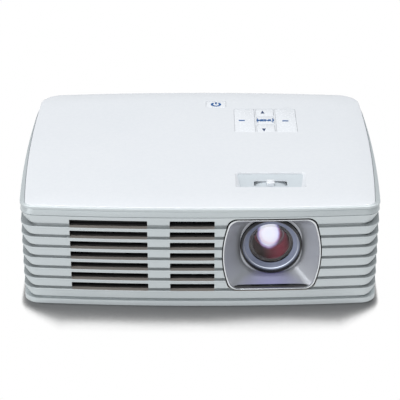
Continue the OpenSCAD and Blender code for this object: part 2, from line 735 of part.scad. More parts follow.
module right_heatsink() {
    x0 = engine_x1 + 3;
    box([x0, green_y - 11, axis_z - 12], [x0 + 3, red_y + 11, axis_z + 14]);
    for (z = [axis_z - 12:fin_pitch:axis_z + 14 - fin_t])
        box([x0 + 3 - eps, green_y - 11, z], [x0 + 20, red_y + 11, z + fin_t]);
}

sink_h = 46;
module main_heatsink() color(metal) difference() {
    union() {
        box([fan_x - fan_size / 2, main_sink_y0, z_floor], [fan_x + fan_size / 2, main_sink_y1, z_floor + 3]);
        for (x = [fan_x - fan_size / 2:fin_pitch:fan_x + fan_size / 2 - fin_t])
            box([x, main_sink_y0, z_floor + 3 - eps], [x + fin_t, main_sink_y1, z_floor + sink_h]);
    }
    pipes(pipe_d / 2 + running);
}

module pipes(r) for (i = [0, 1]) rod_x(pipe_y + i * pipe_pitch_y, pipe_z - 5 * i, r,
    fan_x - fan_size / 2 - 1, engine_x0 - 1.2);
module heat_pipes() color([0.80, 0.48, 0.28]) pipes(pipe_d / 2);

module side_heatsink() {
    x0 = vent_x0 + 1;
    y1 = pipe_y - pipe_d / 2 - 1;
    box([x0, y1 - 22, z_shelf], [vent_x1, y1, z_shelf + 3]);
    for (x = [x0:fin_pitch:vent_x1 - fin_t])
        box([x, y1 - 22, z_shelf + 3 - eps], [x + fin_t, y1, z_shelf + 36]);
}

// Heat sinks of the mirror chip, of the LED modules and behind the right vents
module small_heatsinks() color(metal) {
    dmd_heatsink();
    right_heatsink();
    side_heatsink();
}

module fan_frame() color(dark) {
    y1 = fan_y + fan_t;
    difference() {
        box([fan_x - fan_size / 2, fan_y, z_floor], [fan_x + fan_size / 2, y1, z_floor + fan_size]);
        rod_y(fan_x, fan_z, rotor_r + 1, fan_y - 1, y1 + 1);
        for (sx = [-1, 1], sz = [-1, 1])
            rod_y(fan_x + sx * (fan_size / 2 - 4), fan_z + sz * (fan_size / 2 - 4), 1.8, fan_y - 1, y1 + 1);
    }
    rod_y(fan_x, fan_z, rotor_hub_r, y1 - 2.5, y1);
    rod_y(fan_x, fan_z, 1.5, fan_y + 2, y1 - 2);
    for (a = [45:90:315]) translate([fan_x, 0, fan_z]) rotate([0, a, 0])
        box([rotor_hub_r - 1, y1 - 2.5, -1.2], [rotor_r + 1.5, y1, 1.2]);
}

module fan_rotor() color([0.1, 0.1, 0.11]) difference() {
    y0 = fan_y + 0.8;
    y1 = fan_y + fan_t - 2.5 - free;
    union() {
        rod_y(fan_x, fan_z, rotor_hub_r, y0, y1);
        intersection() {
            rod_y(fan_x, fan_z, rotor_r, y0, y1);
            for (i = [0:blade_count - 1]) translate([fan_x, (y0 + y1) / 2, fan_z])
                rotate([0, i * 360 / blade_count, 0]) rotate([38, 0, 0])
                    translate([rotor_hub_r - 1, -fan_t, -0.6]) cube([rotor_r, 2 * fan_t, 1.2]);
        }
    }
    rod_y(fan_x, fan_z, 1.5 + running, fan_y + 1.6, y1 + 1);
}

module main_board() color(board_green) difference() {
    union() {
        box([-board_x, board_y0, z_board], [board_x, board_y1, z_sockets]);
        box([-20, board_y0 + 6, z_sockets - eps], [0, board_y0 + 22, z_sockets + 2]);
        box([10, board_y0 + 4, z_sockets - eps], [22, board_y0 + 14, z_sockets + 1.4]);
        box([-50, board_y0 + 8, z_sockets - eps], [-34, board_y0 + 18, z_sockets + 1.4]);
        for (sx = [-1, 1], in = [10.5, 19.5])
            rod_z(sx * (board_x - in), board_y0 + 8, 3, z_sockets - eps, z_sockets + 7);
    }
    for (x = [drive_x0 + 12, board_x - 4], y = [board_y0 + 4, board_y1 - 4])
        rod_z(x, y, 1.6, z_board - 1, z_sockets + 1);
}

driver_x0 = 21 - plan_x;
driver_x1 = driver_x0 + side_bay / 2;
driver_y0 = main_sink_y1 + 3;
driver_y1 = board_y0 - 4;
z_driver = z_floor + 7;
module driver_board() color(board_green) {
    box([driver_x0, driver_y0, z_driver], [driver_x1, driver_y1, z_driver + board_t]);
    box([driver_x0 + 6, driver_y0 + 6, z_driver + board_t - eps], [driver_x0 + 18, driver_y0 + 18, z_driver + 9]);
    for (y = [driver_y0 + 26:9:driver_y1 - 6]) rod_z(driver_x0 + 10, y, 4, z_driver + board_t - eps, z_driver + 14);
    for (y = [driver_y0 + 8:10:driver_y1 - 8])
        box([driver_x1 - 12, y, z_driver + board_t - eps], [driver_x1 - 4, y + 6, z_driver + 5]);
}

speaker_x = driver_x0 - 3;
speaker_l = 40;
speaker_z = 30;
module speaker() color(dark) {
    yc = (driver_y0 + driver_y1) / 2;
    zc = z_floor + speaker_z / 2;
    difference() {
        box([speaker_x - 8, yc - speaker_l / 2, z_floor], [speaker_x, yc + speaker_l / 2, z_floor + speaker_z]);
        rod_x(yc, zc, 12.5, speaker_x - 9, speaker_x - 3);
    }
    translate([speaker_x - 3, yc, zc]) rotate([0, -90, 0]) cylinder(r1 = 6, r2 = 12.3, h = 3);
}

module shell_socket(x, w, h, wall, mouth) difference() {
    box([x - w / 2, socket_y1 - 13, z_sockets], [x + w / 2, socket_y1, z_sockets + h]);
    box([x - w / 2 + wall, socket_y1 - mouth, z_sockets + wall],
        [x + w / 2 - wall, socket_y1 + 1, z_sockets + h - wall]);
}
// Sheet metal sockets for digital video and for a memory stick
module data_sockets() color(metal) {
    shell_socket(hdmi_x, 15, 6, 0.5, 10);
    shell_socket(usb_x, 14, 6.6, 0.6, 10);
}
module vga_socket() color([0.15, 0.25, 0.55]) difference() {
    union() {
        box([vga_x - 15.4, socket_y1 - 12, z_sockets], [vga_x + 15.4, socket_y1 - 0.8, z_sockets + 12.4]);
        box([vga_x - 8.5, socket_y1 - 1, z_sockets + 2], [vga_x + 8.5, socket_y1 + 1.2, z_sockets + 10]);
    }
    for (row = [0:2], i = [0:4]) rod_y(vga_x - 5.4 + i * 2.4 + (row == 1 ? 1.2 : 0), z_sockets + 4 + row * 2,
                                       0.5, socket_y1 - 4, socket_y1 + 2);
    for (sx = [-1, 1]) rod_y(vga_x + sx * 12.3, z_sockets + 6.2, 1.5, socket_y1 - 9, socket_y1 + 1);
}
module av_jacks() color(dark) for (dx = [-6, 6]) difference() {
    union() {
        box([av_x + dx - 4.5, socket_y1 - 14, z_sockets], [av_x + dx + 4.5, panel_y - touch, z_sockets + 10]);
        rod_y(av_x + dx, z_sockets + 5, 3.5, panel_y - 1, socket_y1 + 0.6);
    }
    rod_y(av_x + dx, z_sockets + 5, 1.78, socket_y1 - 12, socket_y1 + 1);
}
module dc_inlet() color(dark) {
    difference() {
        union() {
            box([dc_x - 5.5, socket_y1 - 14, z_sockets], [dc_x + 5.5, panel_y - touch, z_sockets + 11]);
            rod_y(dc_x, z_sockets + 5.5, 5, panel_y - 1, socket_y1);
        }
        rod_y(dc_x, z_sockets + 5.5, dc_r, socket_y1 - 10, socket_y1 + 1);
    }
    rod_y(dc_x, z_sockets + 5.5, 0.9, socket_y1 - 11, socket_y1 - 1.5);
}

// Sheet over the drive that carries the optical engine and the main board
module drive_shelf() color(metal) {
    x0 = drive_x0 - 2;
    box([x0, drive_y0 + 1, z_drive_top], [drive_x1 - 15, drive_y1 - 1, z_shelf]);
    for (y = [drive_y0 + 6, drive_yc - 6, drive_y1 - 18])
        box([x0, y, z_floor], [x0 + shelf_t, y + 12, z_drive_top + eps]);
    for (x = [drive_x0 + 12, board_x - 4], y = [board_y0 + 4, board_y1 - 6])
        rod_z(x, min(y, drive_y1 - 4), 2.5, z_shelf - eps, z_board);
}

module drive_chassis() color(metal) difference() {
    box([drive_x0, drive_y0, z_drive], [drive_x1 - chassis_setback, drive_y1, z_drive_top - sheet_t]);
    box([drive_x0 + sheet_t, drive_y0 + sheet_t, z_drive + sheet_t], [drive_x1 + 1, drive_y1 - sheet_t, z_drive_top]);
    for (i = [0:3], j = [0:1])
        rod_z(drive_x0 + 20 + i * 28, drive_yc - 40 + j * 80, 4, z_drive - 1, z_drive + sheet_t + 1);
}

module drive_lid() color(metal) difference() {
    box([drive_x0, drive_y0, z_drive_top - sheet_t], [drive_x1 - chassis_setback, drive_y1, z_drive_top]);
    box([drive_x1 - 6, drive_yc - 30, z_drive_top - sheet_t - 1], [drive_x1 + 1, drive_yc + 30, z_drive_top + 1]);
}

// Pair of rails between chassis and tray: they come out half as far as the tray
rail_z = z_tray + 1;
rail_x1 = drive_x1 - chassis_setback;
rail_x0 = rail_x1 - tray_travel - 10;
module tray_rails() color(metal) for (side = [0, 1]) {
    y0 = side == 0 ? drive_y0 + sheet_t + tray_gap : drive_y1 - sheet_t - tray_gap - rail_w;
    box([rail_x0, y0, rail_z], [rail_x1, y0 + rail_w, rail_z + rail_h]);
}

module tray_surround() color(dark) difference() {
    box([tray_x0, tray_y0, z_well], [tray_x1, tray_y1, z_tray + tray_h]);
    rod_z(well_x, drive_yc, well_d / 2, z_well - 1, z_tray + tray_h + 1);
}

module disc_tray() color(dark) difference() {
    box([tray_x0, tray_y0, z_tray], [tray_x1, tray_y1, z_well]);
    rod_z(well_x, drive_yc, motor_r + free, z_tray - 1, z_well + 1);
    box([well_x - rod_x - sled_side - free, drive_yc + rod_start, z_tray - 1],
        [screw_x + screw_r + free, drive_yc + rod_end, z_sled_roof]);
    box([well_x - eye_r - free, drive_yc + rod_start, z_tray - 1],
        [well_x + eye_r + free, drive_yc + rod_end, z_well + 1]);
    for (sy = [-1, 1])
        box([well_x + 20, drive_yc + sy * 44 - 6, z_tray - 1], [well_x + 44, drive_yc + sy * 44 + 6, z_tray + 2.4]);
}

module tray_fascia() color(silver) difference() {
    box([drive_x1, drive_y0 + 0.8, z_fascia], [drive_x1 + fascia_t, drive_y1 - 0.8, z_fascia + fascia_h]);
    box([drive_x1 + fascia_t - 0.8, drive_y0, groove_z(groove_count - 1)],
        [drive_x1 + fascia_t + 1, drive_y1, groove_z(groove_count - 1) + groove_h]);
    key_box(touch);
    rod_x(eject_y - 14, z_fascia + fascia_h / 2, 0.7, drive_x1 - 1, drive_x1 + fascia_t + 1);
}
eject_y = drive_y1 - 26;
eject_l = 12;
eject_h = 3.6;
module key_box(grow) box([drive_x1 - 1, eject_y - eject_l / 2 - grow, z_fascia + fascia_h / 2 - eject_h / 2 - grow],
    [drive_x1 + fascia_t + 1, eject_y + eject_l / 2 + grow, z_fascia + fascia_h / 2 + eject_h / 2 + grow]);
module eject_button() color(pearl) box(
    [drive_x1 + 1.2, eject_y - eject_l / 2 + 0.15, z_fascia + (fascia_h - eject_h) / 2 + 0.15],
    [drive_x1 + fascia_t + 0.5, eject_y + eject_l / 2 - 0.15, z_fascia + (fascia_h + eject_h) / 2 - 0.15]);

module spindle_motor() color(metal) {
    rod_z(well_x, drive_yc, motor_r, z_tray + 0.3, z_tray + 1.3);
    rod_z(well_x, drive_yc, 9, z_tray + 1.3 - eps, z_tray + 3.2);
    rod_z(well_x, drive_yc, 1.2, z_tray + 3.2 - eps, z_well + 1.2);
}

module spindle_hub() color(dark) difference() {
    union() {
        rod_z(well_x, drive_yc, 11.5, z_tray + 3.2 + free, z_well + 0.9);
        rod_z(well_x, drive_yc, hub_r, z_well + 0.9 - eps, z_well + 2.9);
    }
    rod_z(well_x, drive_yc, 1.2 + running, z_tray + 3, z_well + 1.6);
}

sled_z = z_tray + 0.1;
sled_h = 2.8;
sled_side = 2.4;
eye_r = 3;
sled_y0 = drive_yc + sled_gap_r + 1;
rod_z0 = sled_z + 1.8;
module sled_rods() color(metal) for (dx = [-rod_x, rod_x])
    rod_y(well_x + dx, rod_z0, rod_r, drive_yc + rod_start, drive_yc + rod_end);

module laser_sled() color([0.3, 0.3, 0.34]) difference() {
    union() {
        box([well_x - rod_x - sled_side, sled_y0, sled_z],
            [well_x + rod_x + sled_side, sled_y0 + sled_l, sled_z + sled_h]);
        rod_z(well_x, sled_y0 + sled_l / 2, eye_r, sled_z + sled_h - eps, z_well + 0.3);
    }
    for (dx = [-rod_x, rod_x])
        rod_y(well_x + dx, rod_z0, rod_r + running, sled_y0 - 1, sled_y0 + sled_l + 1);
}

// Screw that drives the sled, with its motor at the inner end
screw_r = 1.6;
thread_r = 1.2;
screw_x = well_x + rod_x + sled_side + free + thread_r;
module lead_screw() color(metal) {
    rod_y(screw_x, rod_z0, thread_r, drive_yc + rod_start + 8, drive_yc + rod_end);
    rod_y(screw_x, rod_z0, screw_r, drive_yc + rod_start, drive_yc + rod_start + 8 + eps);
}

module front_foot() color(dark) {
    rod_z(foot_x, foot_y, foot_d / 2, 0, z_under - touch);
    rod_z(foot_x, foot_y, stem_d / 2, z_under - touch - eps, z_under + foot_boss_h - 0.5);
}

module rear_feet() color(dark) for (sx = [-1, 1])
    rod_z(sx * rear_foot_x, rear_foot_y, foot_d / 2, 0, z_under);

module tripod_nut() color([0.8, 0.65, 0.35]) difference() {
    rod_z(tripod_x, tripod_y, nut_d / 2, z_under, z_under + tripod_depth);
    rod_z(tripod_x, tripod_y, tripod_r, z_under - 1, z_under + tripod_depth + 1);
}

module case_screws() color(metal) at_posts() {
    rod_z(0, 0, screw_head_d / 2, z_under + screw_seat - screw_head_h, z_under + screw_seat);
    rod_z(0, 0, screw_d / 2, z_under + screw_seat - eps, z_post + 10);
}

base_case();
base_standoffs();
front_louvres();
side_louvres();
rear_louvres();
cover_trim();
top_cover();
cover_standoffs();
rear_panel();
intake_grille();
lens_rim();
lens_funnel();
lens_tube();
focus_ring();
focus_knob();
lens_barrel();
front_lens();
baffle_cone();
inner_lens();
engine_base();
engine_lid();
dmd_board();
led_blue();
led_modules();
main_heatsink();
small_heatsinks();
heat_pipes();
fan_frame();
fan_rotor();
main_board();
keypad_board();
driver_board();
speaker();
data_sockets();
vga_socket();
av_jacks();
dc_inlet();
key(power_key);  // power_button
key(up_key);  // key_up
key(down_key);  // key_down
key(left_key);  // key_left
key(right_key);  // key_right
key(menu_key);  // key_menu
drive_shelf();
drive_chassis();
drive_lid();
tray_rails();
disc_tray();
tray_surround();
tray_fascia();
eject_button();
spindle_motor();
spindle_hub();
sled_rods();
laser_sled();
lead_screw();
front_foot();
rear_feet();
tripod_nut();
case_screws();
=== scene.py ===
"""Scene of a compact LED projector with a slim disc drive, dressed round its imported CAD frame.

Sizes in the classes are in millimetres, in the CAD frame: +X to the right, +Y to the rear, +Z up and the
front towards -Y. Meshes are written in metres.
"""

import logging
import math
from dataclasses import dataclass, field
from enum import Enum
from functools import partial
from typing import Callable, Sequence

import bmesh
import bpy
import numpy as np
from mathutils import Matrix, Vector

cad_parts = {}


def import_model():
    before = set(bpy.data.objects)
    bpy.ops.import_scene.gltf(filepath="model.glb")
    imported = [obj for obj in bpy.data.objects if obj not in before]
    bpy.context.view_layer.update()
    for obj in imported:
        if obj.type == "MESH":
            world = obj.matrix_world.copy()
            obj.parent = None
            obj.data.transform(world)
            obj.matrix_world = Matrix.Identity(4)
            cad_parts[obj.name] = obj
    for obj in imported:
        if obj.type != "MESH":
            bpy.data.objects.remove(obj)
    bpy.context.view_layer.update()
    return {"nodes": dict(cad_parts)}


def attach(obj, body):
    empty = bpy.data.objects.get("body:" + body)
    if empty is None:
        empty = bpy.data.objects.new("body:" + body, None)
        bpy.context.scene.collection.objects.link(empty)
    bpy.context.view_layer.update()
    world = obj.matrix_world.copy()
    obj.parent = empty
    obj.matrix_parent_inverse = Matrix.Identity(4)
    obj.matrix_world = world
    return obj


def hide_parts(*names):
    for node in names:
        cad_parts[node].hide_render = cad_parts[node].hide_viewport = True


MM = 0.001  # metres in a millimetre
FINISH_SLOTS = 3  # finish numbers that a mesh can hold
MERGE = 1e-7  # metres under which two points become one
WHITE = (1.0, 1.0, 1.0, 1.0)
FRONT_CUT = (-95.0, -72.0)  # Y where the cuts through the front start and end
Array = np.ndarray
Pair = tuple[float, float]
Place = tuple[float, float, float]
Box = tuple[float, float, float, float]
Colour = tuple[float, float, float]
Node = bpy.types.Node
Socket = bpy.types.NodeSocket
Thing = bpy.types.Object
Outline = Callable[[float], Array]
log = logging.getLogger("scene")


class Way(Enum):
    """Direction along which a surface is stood up or turned."""

    X = 0
    Y = 1
    Z = 2


def srgb(red: int, green: int, blue: int) -> Colour:
    """Linear colour of an 8-bit screen colour.

    Args:
        red: Red from 0 to 255.
        green: Green from 0 to 255.
        blue: Blue from 0 to 255.

    Returns:
        Three linear values: c / 12.92 where dark, else ((c + 0.055) / 1.055) to the power 2.4.
    """
    parts = (value / 255 for value in (red, green, blue))
    return tuple(c / 12.92 if c <= 0.04045 else ((c + 0.055) / 1.055) ** 2.4 for c in parts)


# Surfaces


@dataclass
class Surface:
    """Points and faces of one or more closed shells, with a finish number for each face."""

    points: Array
    faces: list[tuple[int, ...]]
    tags: list[int] = field(default_factory=list)

    def __post_init__(self) -> None:
        """Gives every face finish 0 where none is stated."""
        if not self.tags:
            self.tags = [0] * len(self.faces)

    def __add__(self, other: "Surface") -> "Surface":
        """Both surfaces as one.

        Args:
            other: Surface to add.

        Returns:
            The joint surface.
        """
        start = len(self.points)
        moved = [tuple(i + start for i in face) for face in other.faces]
        return Surface(np.vstack([self.points, other.points]), self.faces + moved, self.tags + other.tags)


def loft(rows: Array, ring: bool = False, tag: int = 0) -> Surface:
    """Skin over closed lines of points, one line a row.

    The surface is P(r, i) = rows[r, i], with i running round and wrapping, and four-sided faces between
    neighbours. Open ends are closed by a flat cap.

    Args:
        rows: Points as an array of rows, points and coordinates.
        ring: True to join the last row to the first instead of capping both.
        tag: Finish number of the faces.

    Returns:
        The closed surface.
    """
    count, around = rows.shape[:2]
    index = np.arange(count * around).reshape(count, around)
    low = index if ring else index[:-1]
    high = np.roll(index, -1, 0) if ring else index[1:]
    quads = np.stack([low, np.roll(low, -1, 1), np.roll(high, -1, 1), high], -1).reshape(-1, 4)
    faces = [tuple(q) for q in quads.tolist()]
    if not ring:
        faces += [tuple(index[0][::-1].tolist()), tuple(index[-1].tolist())]
    return Surface(rows.reshape(-1, 3), faces, [tag] * len(faces))


def lathe(profile: Sequence[Pair], centre: Pair, way: Way = Way.Z,
          around: int = 96, ring: bool = False, tag: int = 0) -> Surface:
    """Surface turned from a profile: P(k, a) = centre + r_k (cos a, sin a), at h_k along the axis.

    Args:
        profile: Pairs of radius and height along the axis.
        centre: The axis' two other coordinates: X and Y for an axis along Z, X and Z along Y, Y and Z along X.
        way: Direction of the axis.
        around: Points round the axis.
        ring: True where the profile closes on itself.
        tag: Finish number of the faces.

    Returns:
        The turned surface.
    """
    angle = np.linspace(0, 2 * np.pi, around, endpoint=False)
    line = np.array(profile, float)
    u = centre[0] + line[:, :1] * np.cos(angle)
    v = centre[1] + line[:, :1] * np.sin(angle)
    h = np.repeat(line[:, 1:], around, 1)
    order = {Way.X: (h, u, v), Way.Y: (u, h, v), Way.Z: (u, v, h)}[way]
    return loft(np.stack(order, -1), ring=ring, tag=tag)


def rounded(half: float, low: float, high: float, front: float, rear: float,
            corner: int = 14, across: int = 56, along: int = 44) -> Array:
    """Rounded rectangle in plan, anticlockwise from its front left corner.

    Args:
        half: Half of the width.
        low: Front edge.
        high: Rear edge.
        front: Radius of the two front corners.
        rear: Radius of the two rear corners.
        corner: Steps of a corner.
        across: Steps of the front and rear edges.
        along: Steps of the side edges.

    Returns:
        Points as rows of X and Y. Each corner is centre + r (cos a, sin a) over a quarter turn.
    """
    def arc(x: float, y: float, r: float, start: float) -> Array:
        """Quarter turn of radius r round a centre, from a start angle."""
        a = np.radians(start + np.linspace(0, 90, corner + 1))
        return np.stack([x + r * np.cos(a), y + r * np.sin(a)], 1)

    def edge(a: Array, b: Array, steps: int) -> Array:
        """Points between two corners, without its ends."""
        t = np.linspace(0, 1, steps + 1)[1:-1, None]
        return a + (b - a) * t

    arcs = [arc(-half + front, low + front, front, 180), arc(half - front, low + front, front, 270),
            arc(half - rear, high - rear, rear, 0), arc(-half + rear, high - rear, rear, 90)]
    parts = []
    for k, steps in enumerate((across, along, across, along)):
        parts += [arcs[k], edge(arcs[k][-1], arcs[(k + 1) % 4][0], steps)]
    return np.vstack(parts)


def rectangle(x0: float, x1: float, y0: float, y1: float, radius: float) -> Outline:
    """Outline of a small rounded rectangle as a function of its inset.

    Args:
        x0: Low end along the first direction.
        x1: High end along the first direction.
        y0: Low end along the second direction.
        y1: High end along the second direction.
        radius: Corner radius.

    Returns:
        A function that gives the outline set in by a distance.
    """
    def outline(inset: float) -> Array:
        """The outline set in by a distance.

        Args:
            inset: The distance.

        Returns:
            Rows of two coordinates.
        """
        r = max(radius - inset, 0.02)
        line = rounded((x1 - x0) / 2 - inset, y0 + inset, y1 - inset, r, r, 6, 3, 3)
        return line + np.array([(x0 + x1) / 2, 0.0])

    return outline


def centred(x: float, y: float, half_x: float, half_y: float, radius: float) -> Outline:
    """Outline of a small rounded rectangle from its centre, its two half sides and its corner radius."""
    return rectangle(x - half_x, x + half_x, y - half_y, y + half_y, radius)


def stand(line: Array, height: Array | float, way: Way = Way.Z) -> Array:
    """A flat line of points placed at a height along a direction.

    Args:
        line: Rows of two coordinates.
        height: One height, or one for each point.
        way: Direction of the height.

    Returns:
        Rows of X, Y and Z.
    """
    h = np.broadcast_to(np.asarray(height, float), (len(line),))
    u, v = line[:, 0], line[:, 1]
    return np.stack({Way.X: (h, u, v), Way.Y: (u, h, v), Way.Z: (u, v, h)}[way], -1)


def levelled(outline: Outline, levels: Sequence[Pair], way: Way = Way.Z) -> list[Array]:
    """Rows of an outline, one for each pair of inset and height."""
    return [stand(outline(inset), height, way) for inset, height in levels]


def prism(line: Array, low: float, high: float, way: Way = Way.Z, tag: int = 0) -> Surface:
    """Straight block between two heights over a flat line of points."""
    return loft(np.array([stand(line, low, way), stand(line, high, way)]), tag=tag)


def soft_slab(outline: Outline, low: float, high: float, edge_low: float = 0.0, edge_high: float = 0.0,
              way: Way = Way.Z, tag: int = 0) -> Surface:
    """Block over an outline whose two rims are quarter circles.

    A rim of radius e is inset e (1 - cos a) at height e (1 - sin a) from its face, for a from 0 to 90
    degrees.

    Args:
        outline: Outline as a function of its inset.
        low: Height of the lower face.
        high: Height of the upper face.
        edge_low: Rim radius of the lower face.
        edge_high: Rim radius of the upper face.
        way: Direction of the height.
        tag: Finish number of the faces.

    Returns:
        The closed surface.
    """
    steps = np.radians(np.linspace(0, 90, 5))
    levels = [(0.0, low)]
    if edge_low:
        levels = [(edge_low * (1 - math.sin(a)), low + edge_low * (1 - math.cos(a))) for a in steps]
    if edge_high:
        levels += [(edge_high * (1 - math.cos(a)), high - edge_high * (1 - math.sin(a))) for a in steps]
    else:
        levels.append((0.0, high))
    return loft(np.array(levelled(outline, levels, way)), tag=tag)


# Finishes


class Grain(Enum):
    """Fine relief of a finish."""

    PEEL = "orange peel of a moulded gloss"
    FLAKE = "metal flakes in paint"
    SPARK = "spark-eroded matt of a tool"
    BRUSHED = "fine lines from rolling or brushing"
    CAST = "sand texture of a casting"


@dataclass
class Nodes:
    """Short way to add shader nodes to one material or world."""

    owner: bpy.types.Material | bpy.types.World

    def __post_init__(self) -> None:
        """Empties the node tree."""
        self.owner.use_nodes = True
        self.tree = self.owner.node_tree
        self.tree.nodes.clear()

    def add(self, kind: str, **values: object) -> Node:
        """Adds a node.

        Args:
            kind: Node type without its ShaderNode prefix.
            **values: Node properties, and socket values or linked sockets, with _ for a space.

        Returns:
            The new node.
        """
        node = self.tree.nodes.new("ShaderNode" + kind)
        for name, value in values.items():
            if hasattr(node, name) and not isinstance(value, Socket):
                setattr(node, name, value)
                continue
            key = int(name[1:]) if name[0] == "i" and name[1:].isdigit() else name.replace("_", " ")
            socket = node.inputs[key]
            if isinstance(value, Socket):
                self.tree.links.new(value, socket)
            else:
                socket.default_value = value
        return node

    def place(self) -> Socket:
        """Object coordinates in metres."""
        return self.add("TexCoord").outputs["Object"]

    def noise(self, scale: float, detail: float = 2.0, vector: Socket | None = None,
              roughness: float = 0.5) -> Socket:
        """Noise of a scale in cycles a metre, as a value round 0.5.

        Args:
            scale: Cycles a metre.
            detail: Octaves.
            vector: Coordinates, or None for the object's own.
            roughness: Share that each octave keeps.

        Returns:
            The value.
        """
        source = vector or self.place()
        node = self.add("TexNoise", Vector=source, Scale=scale, Detail=detail, Roughness=roughness)
        return node.outputs["Fac"]

    def ramp(self, value: Socket, stops: Sequence[tuple[float, Colour]]) -> Socket:
        """Colour ramp.

        Args:
            value: Value that it reads.
            stops: Pairs of position and colour.

        Returns:
            The colour socket.
        """
        node = self.add("ValToRGB", i0=value)
        points = node.color_ramp.elements
        while len(points) < len(stops):
            points.new(0.5)
        for point, (at, colour) in zip(points, stops):
            point.position = at
            point.color = (*colour, 1.0)
        return node.outputs["Color"]

    def span(self, value: Socket, low: float, high: float, start: float = 0.3,
             end: float = 0.7) -> Socket:
        """Maps a value from start-end to low-high.

        Args:
            value: Value that it reads.
            low: Result at the start.
            high: Result at the end.
            start: Value that gives low.
            end: Value that gives high.

        Returns:
            The mapped value, which stays between low and high.
        """
        node = self.add("MapRange", i0=value)
        for k, number in zip((1, 2, 3, 4), (start, end, low, high)):
            node.inputs[k].default_value = number
        return node.outputs[0]

    def sum(self, kind: str, first: object, second: object = 0.0) -> Socket:
        """A Math node.

        Args:
            kind: Operation, such as MULTIPLY.
            first: Socket or number.
            second: Socket or number.

        Returns:
            The result.
        """
        return self.add("Math", operation=kind, i0=first, i1=second).outputs[0]

    def bump(self, height: Socket, strength: float, depth: float) -> Socket:
        """Bump from a height, with its depth in metres."""
        return self.add("Bump", Height=height, Strength=strength, Distance=depth).outputs["Normal"]

    def oval(self, centre: Pair, reach: Pair) -> Socket:
        """Distance from a centre in X and Z: q = sqrt(((x - x0) / a)^2 + ((z - z0) / b)^2).

        Args:
            centre: The centre (x0, z0).
            reach: The two half axes a and b, where q is 1.

        Returns:
            The value q.
        """
        at = self.add("Mapping", Vector=self.place(), vector_type="TEXTURE",
                      Location=(centre[0] * MM, 0.0, centre[1] * MM),
                      Scale=(reach[0] * MM, 1.0, reach[1] * MM)).outputs[0]
        flat = self.add("VectorMath", operation="MULTIPLY", i0=at, i1=(1.0, 0.0, 1.0)).outputs[0]
        return self.add("VectorMath", operation="LENGTH", i0=flat).outputs["Value"]

    def output(self, shader: Node) -> None:
        """Links a shader to the output of the material or world."""
        kind = "OutputWorld" if isinstance(self.owner, bpy.types.World) else "OutputMaterial"
        self.add(kind, Surface=shader.outputs[0])


@dataclass(frozen=True)
class Finish:
    """A finish: two close colours that drift into each other, a roughness span, a coat and a fine relief."""

    name: str
    colour: Colour
    second: Colour
    rough: Pair = (0.3, 0.4)
    metallic: float = 0.0
    coat: float = 0.0
    coat_rough: float = 0.05
    grain: Grain = Grain.SPARK
    scale: float = 900.0
    depth: float = 0.00001
    drift: float = 14.0
    specular: float = 0.5

    def relief(self, nodes: Nodes) -> Socket:
        """Height of the fine relief.

        Args:
            nodes: The material's nodes.

        Returns:
            A value socket.
        """
        if self.grain is Grain.BRUSHED:
            long = nodes.add("Mapping", Vector=nodes.place(), Scale=(0.03, 1.0, 1.0)).outputs[0]
            return nodes.noise(self.scale, 3.0, long)
        if self.grain is Grain.FLAKE:
            cells = nodes.add("TexVoronoi", Vector=nodes.place(), Scale=self.scale)
            return cells.outputs["Distance"]
        if self.grain is Grain.CAST:
            return nodes.noise(self.scale, 6.0, roughness=0.7)
        return nodes.noise(self.scale, 2.0)

    def shader(self, nodes: Nodes) -> Node:
        """Shader of the finish: the mean of a broad drift and the fine relief picks between the two colours.

        Args:
            nodes: The material's nodes.

        Returns:
            A principled shader, with colour, roughness and relief from its nodes.
        """
        height = self.relief(nodes)
        drift = nodes.noise(self.drift, 3.0)
        share = nodes.sum("MULTIPLY", nodes.sum("ADD", drift, height), 0.5)
        colour = nodes.ramp(share, [(0.25, self.second), (0.75, self.colour)])
        return nodes.add("BsdfPrincipled", Base_Color=colour, Roughness=nodes.span(height, *self.rough),
                         Metallic=self.metallic, Coat_Weight=self.coat, Coat_Roughness=self.coat_rough,
                         Specular_IOR_Level=self.specular, Normal=nodes.bump(height, 0.5, self.depth))

    def make(self) -> bpy.types.Material:
        """Builds the material round its shader.

        Returns:
            The material.
        """
        material = bpy.data.materials.new(self.name)
        nodes = Nodes(material)
        nodes.output(self.shader(nodes))
        return material


@dataclass(frozen=True)
class BoardFinish(Finish):
    """Solder mask over copper traces that run square to the board's edges."""

    track: float = 420.0

    def shader(self, nodes: Nodes) -> Node:
        """Shader with brick joints as traces and voronoi dots as vias.

        Args:
            nodes: The material's nodes.

        Returns:
            A principled shader.
        """
        place = nodes.place()
        bricks = nodes.add("TexBrick", Vector=place, Scale=self.track, Mortar_Size=0.035, Mortar_Smooth=0.2,
                           Brick_Width=1.7, Row_Height=0.6)
        dots = nodes.add("TexVoronoi", Vector=place, Scale=self.track * 0.6)
        via = nodes.span(dots.outputs["Distance"], 1.0, 0.0, 0.12, 0.16)
        trace = nodes.sum("MAXIMUM", bricks.outputs["Fac"], via)
        colour = nodes.ramp(trace, [(0.0, self.colour), (0.8, self.second)])
        return nodes.add("BsdfPrincipled", Base_Color=colour, Coat_Weight=self.coat,
                         Roughness=nodes.span(trace, *self.rough, 0.0, 1.0),
                         Metallic=nodes.sum("MULTIPLY", via, 0.6),
                         Normal=nodes.bump(trace, 0.4, self.depth))


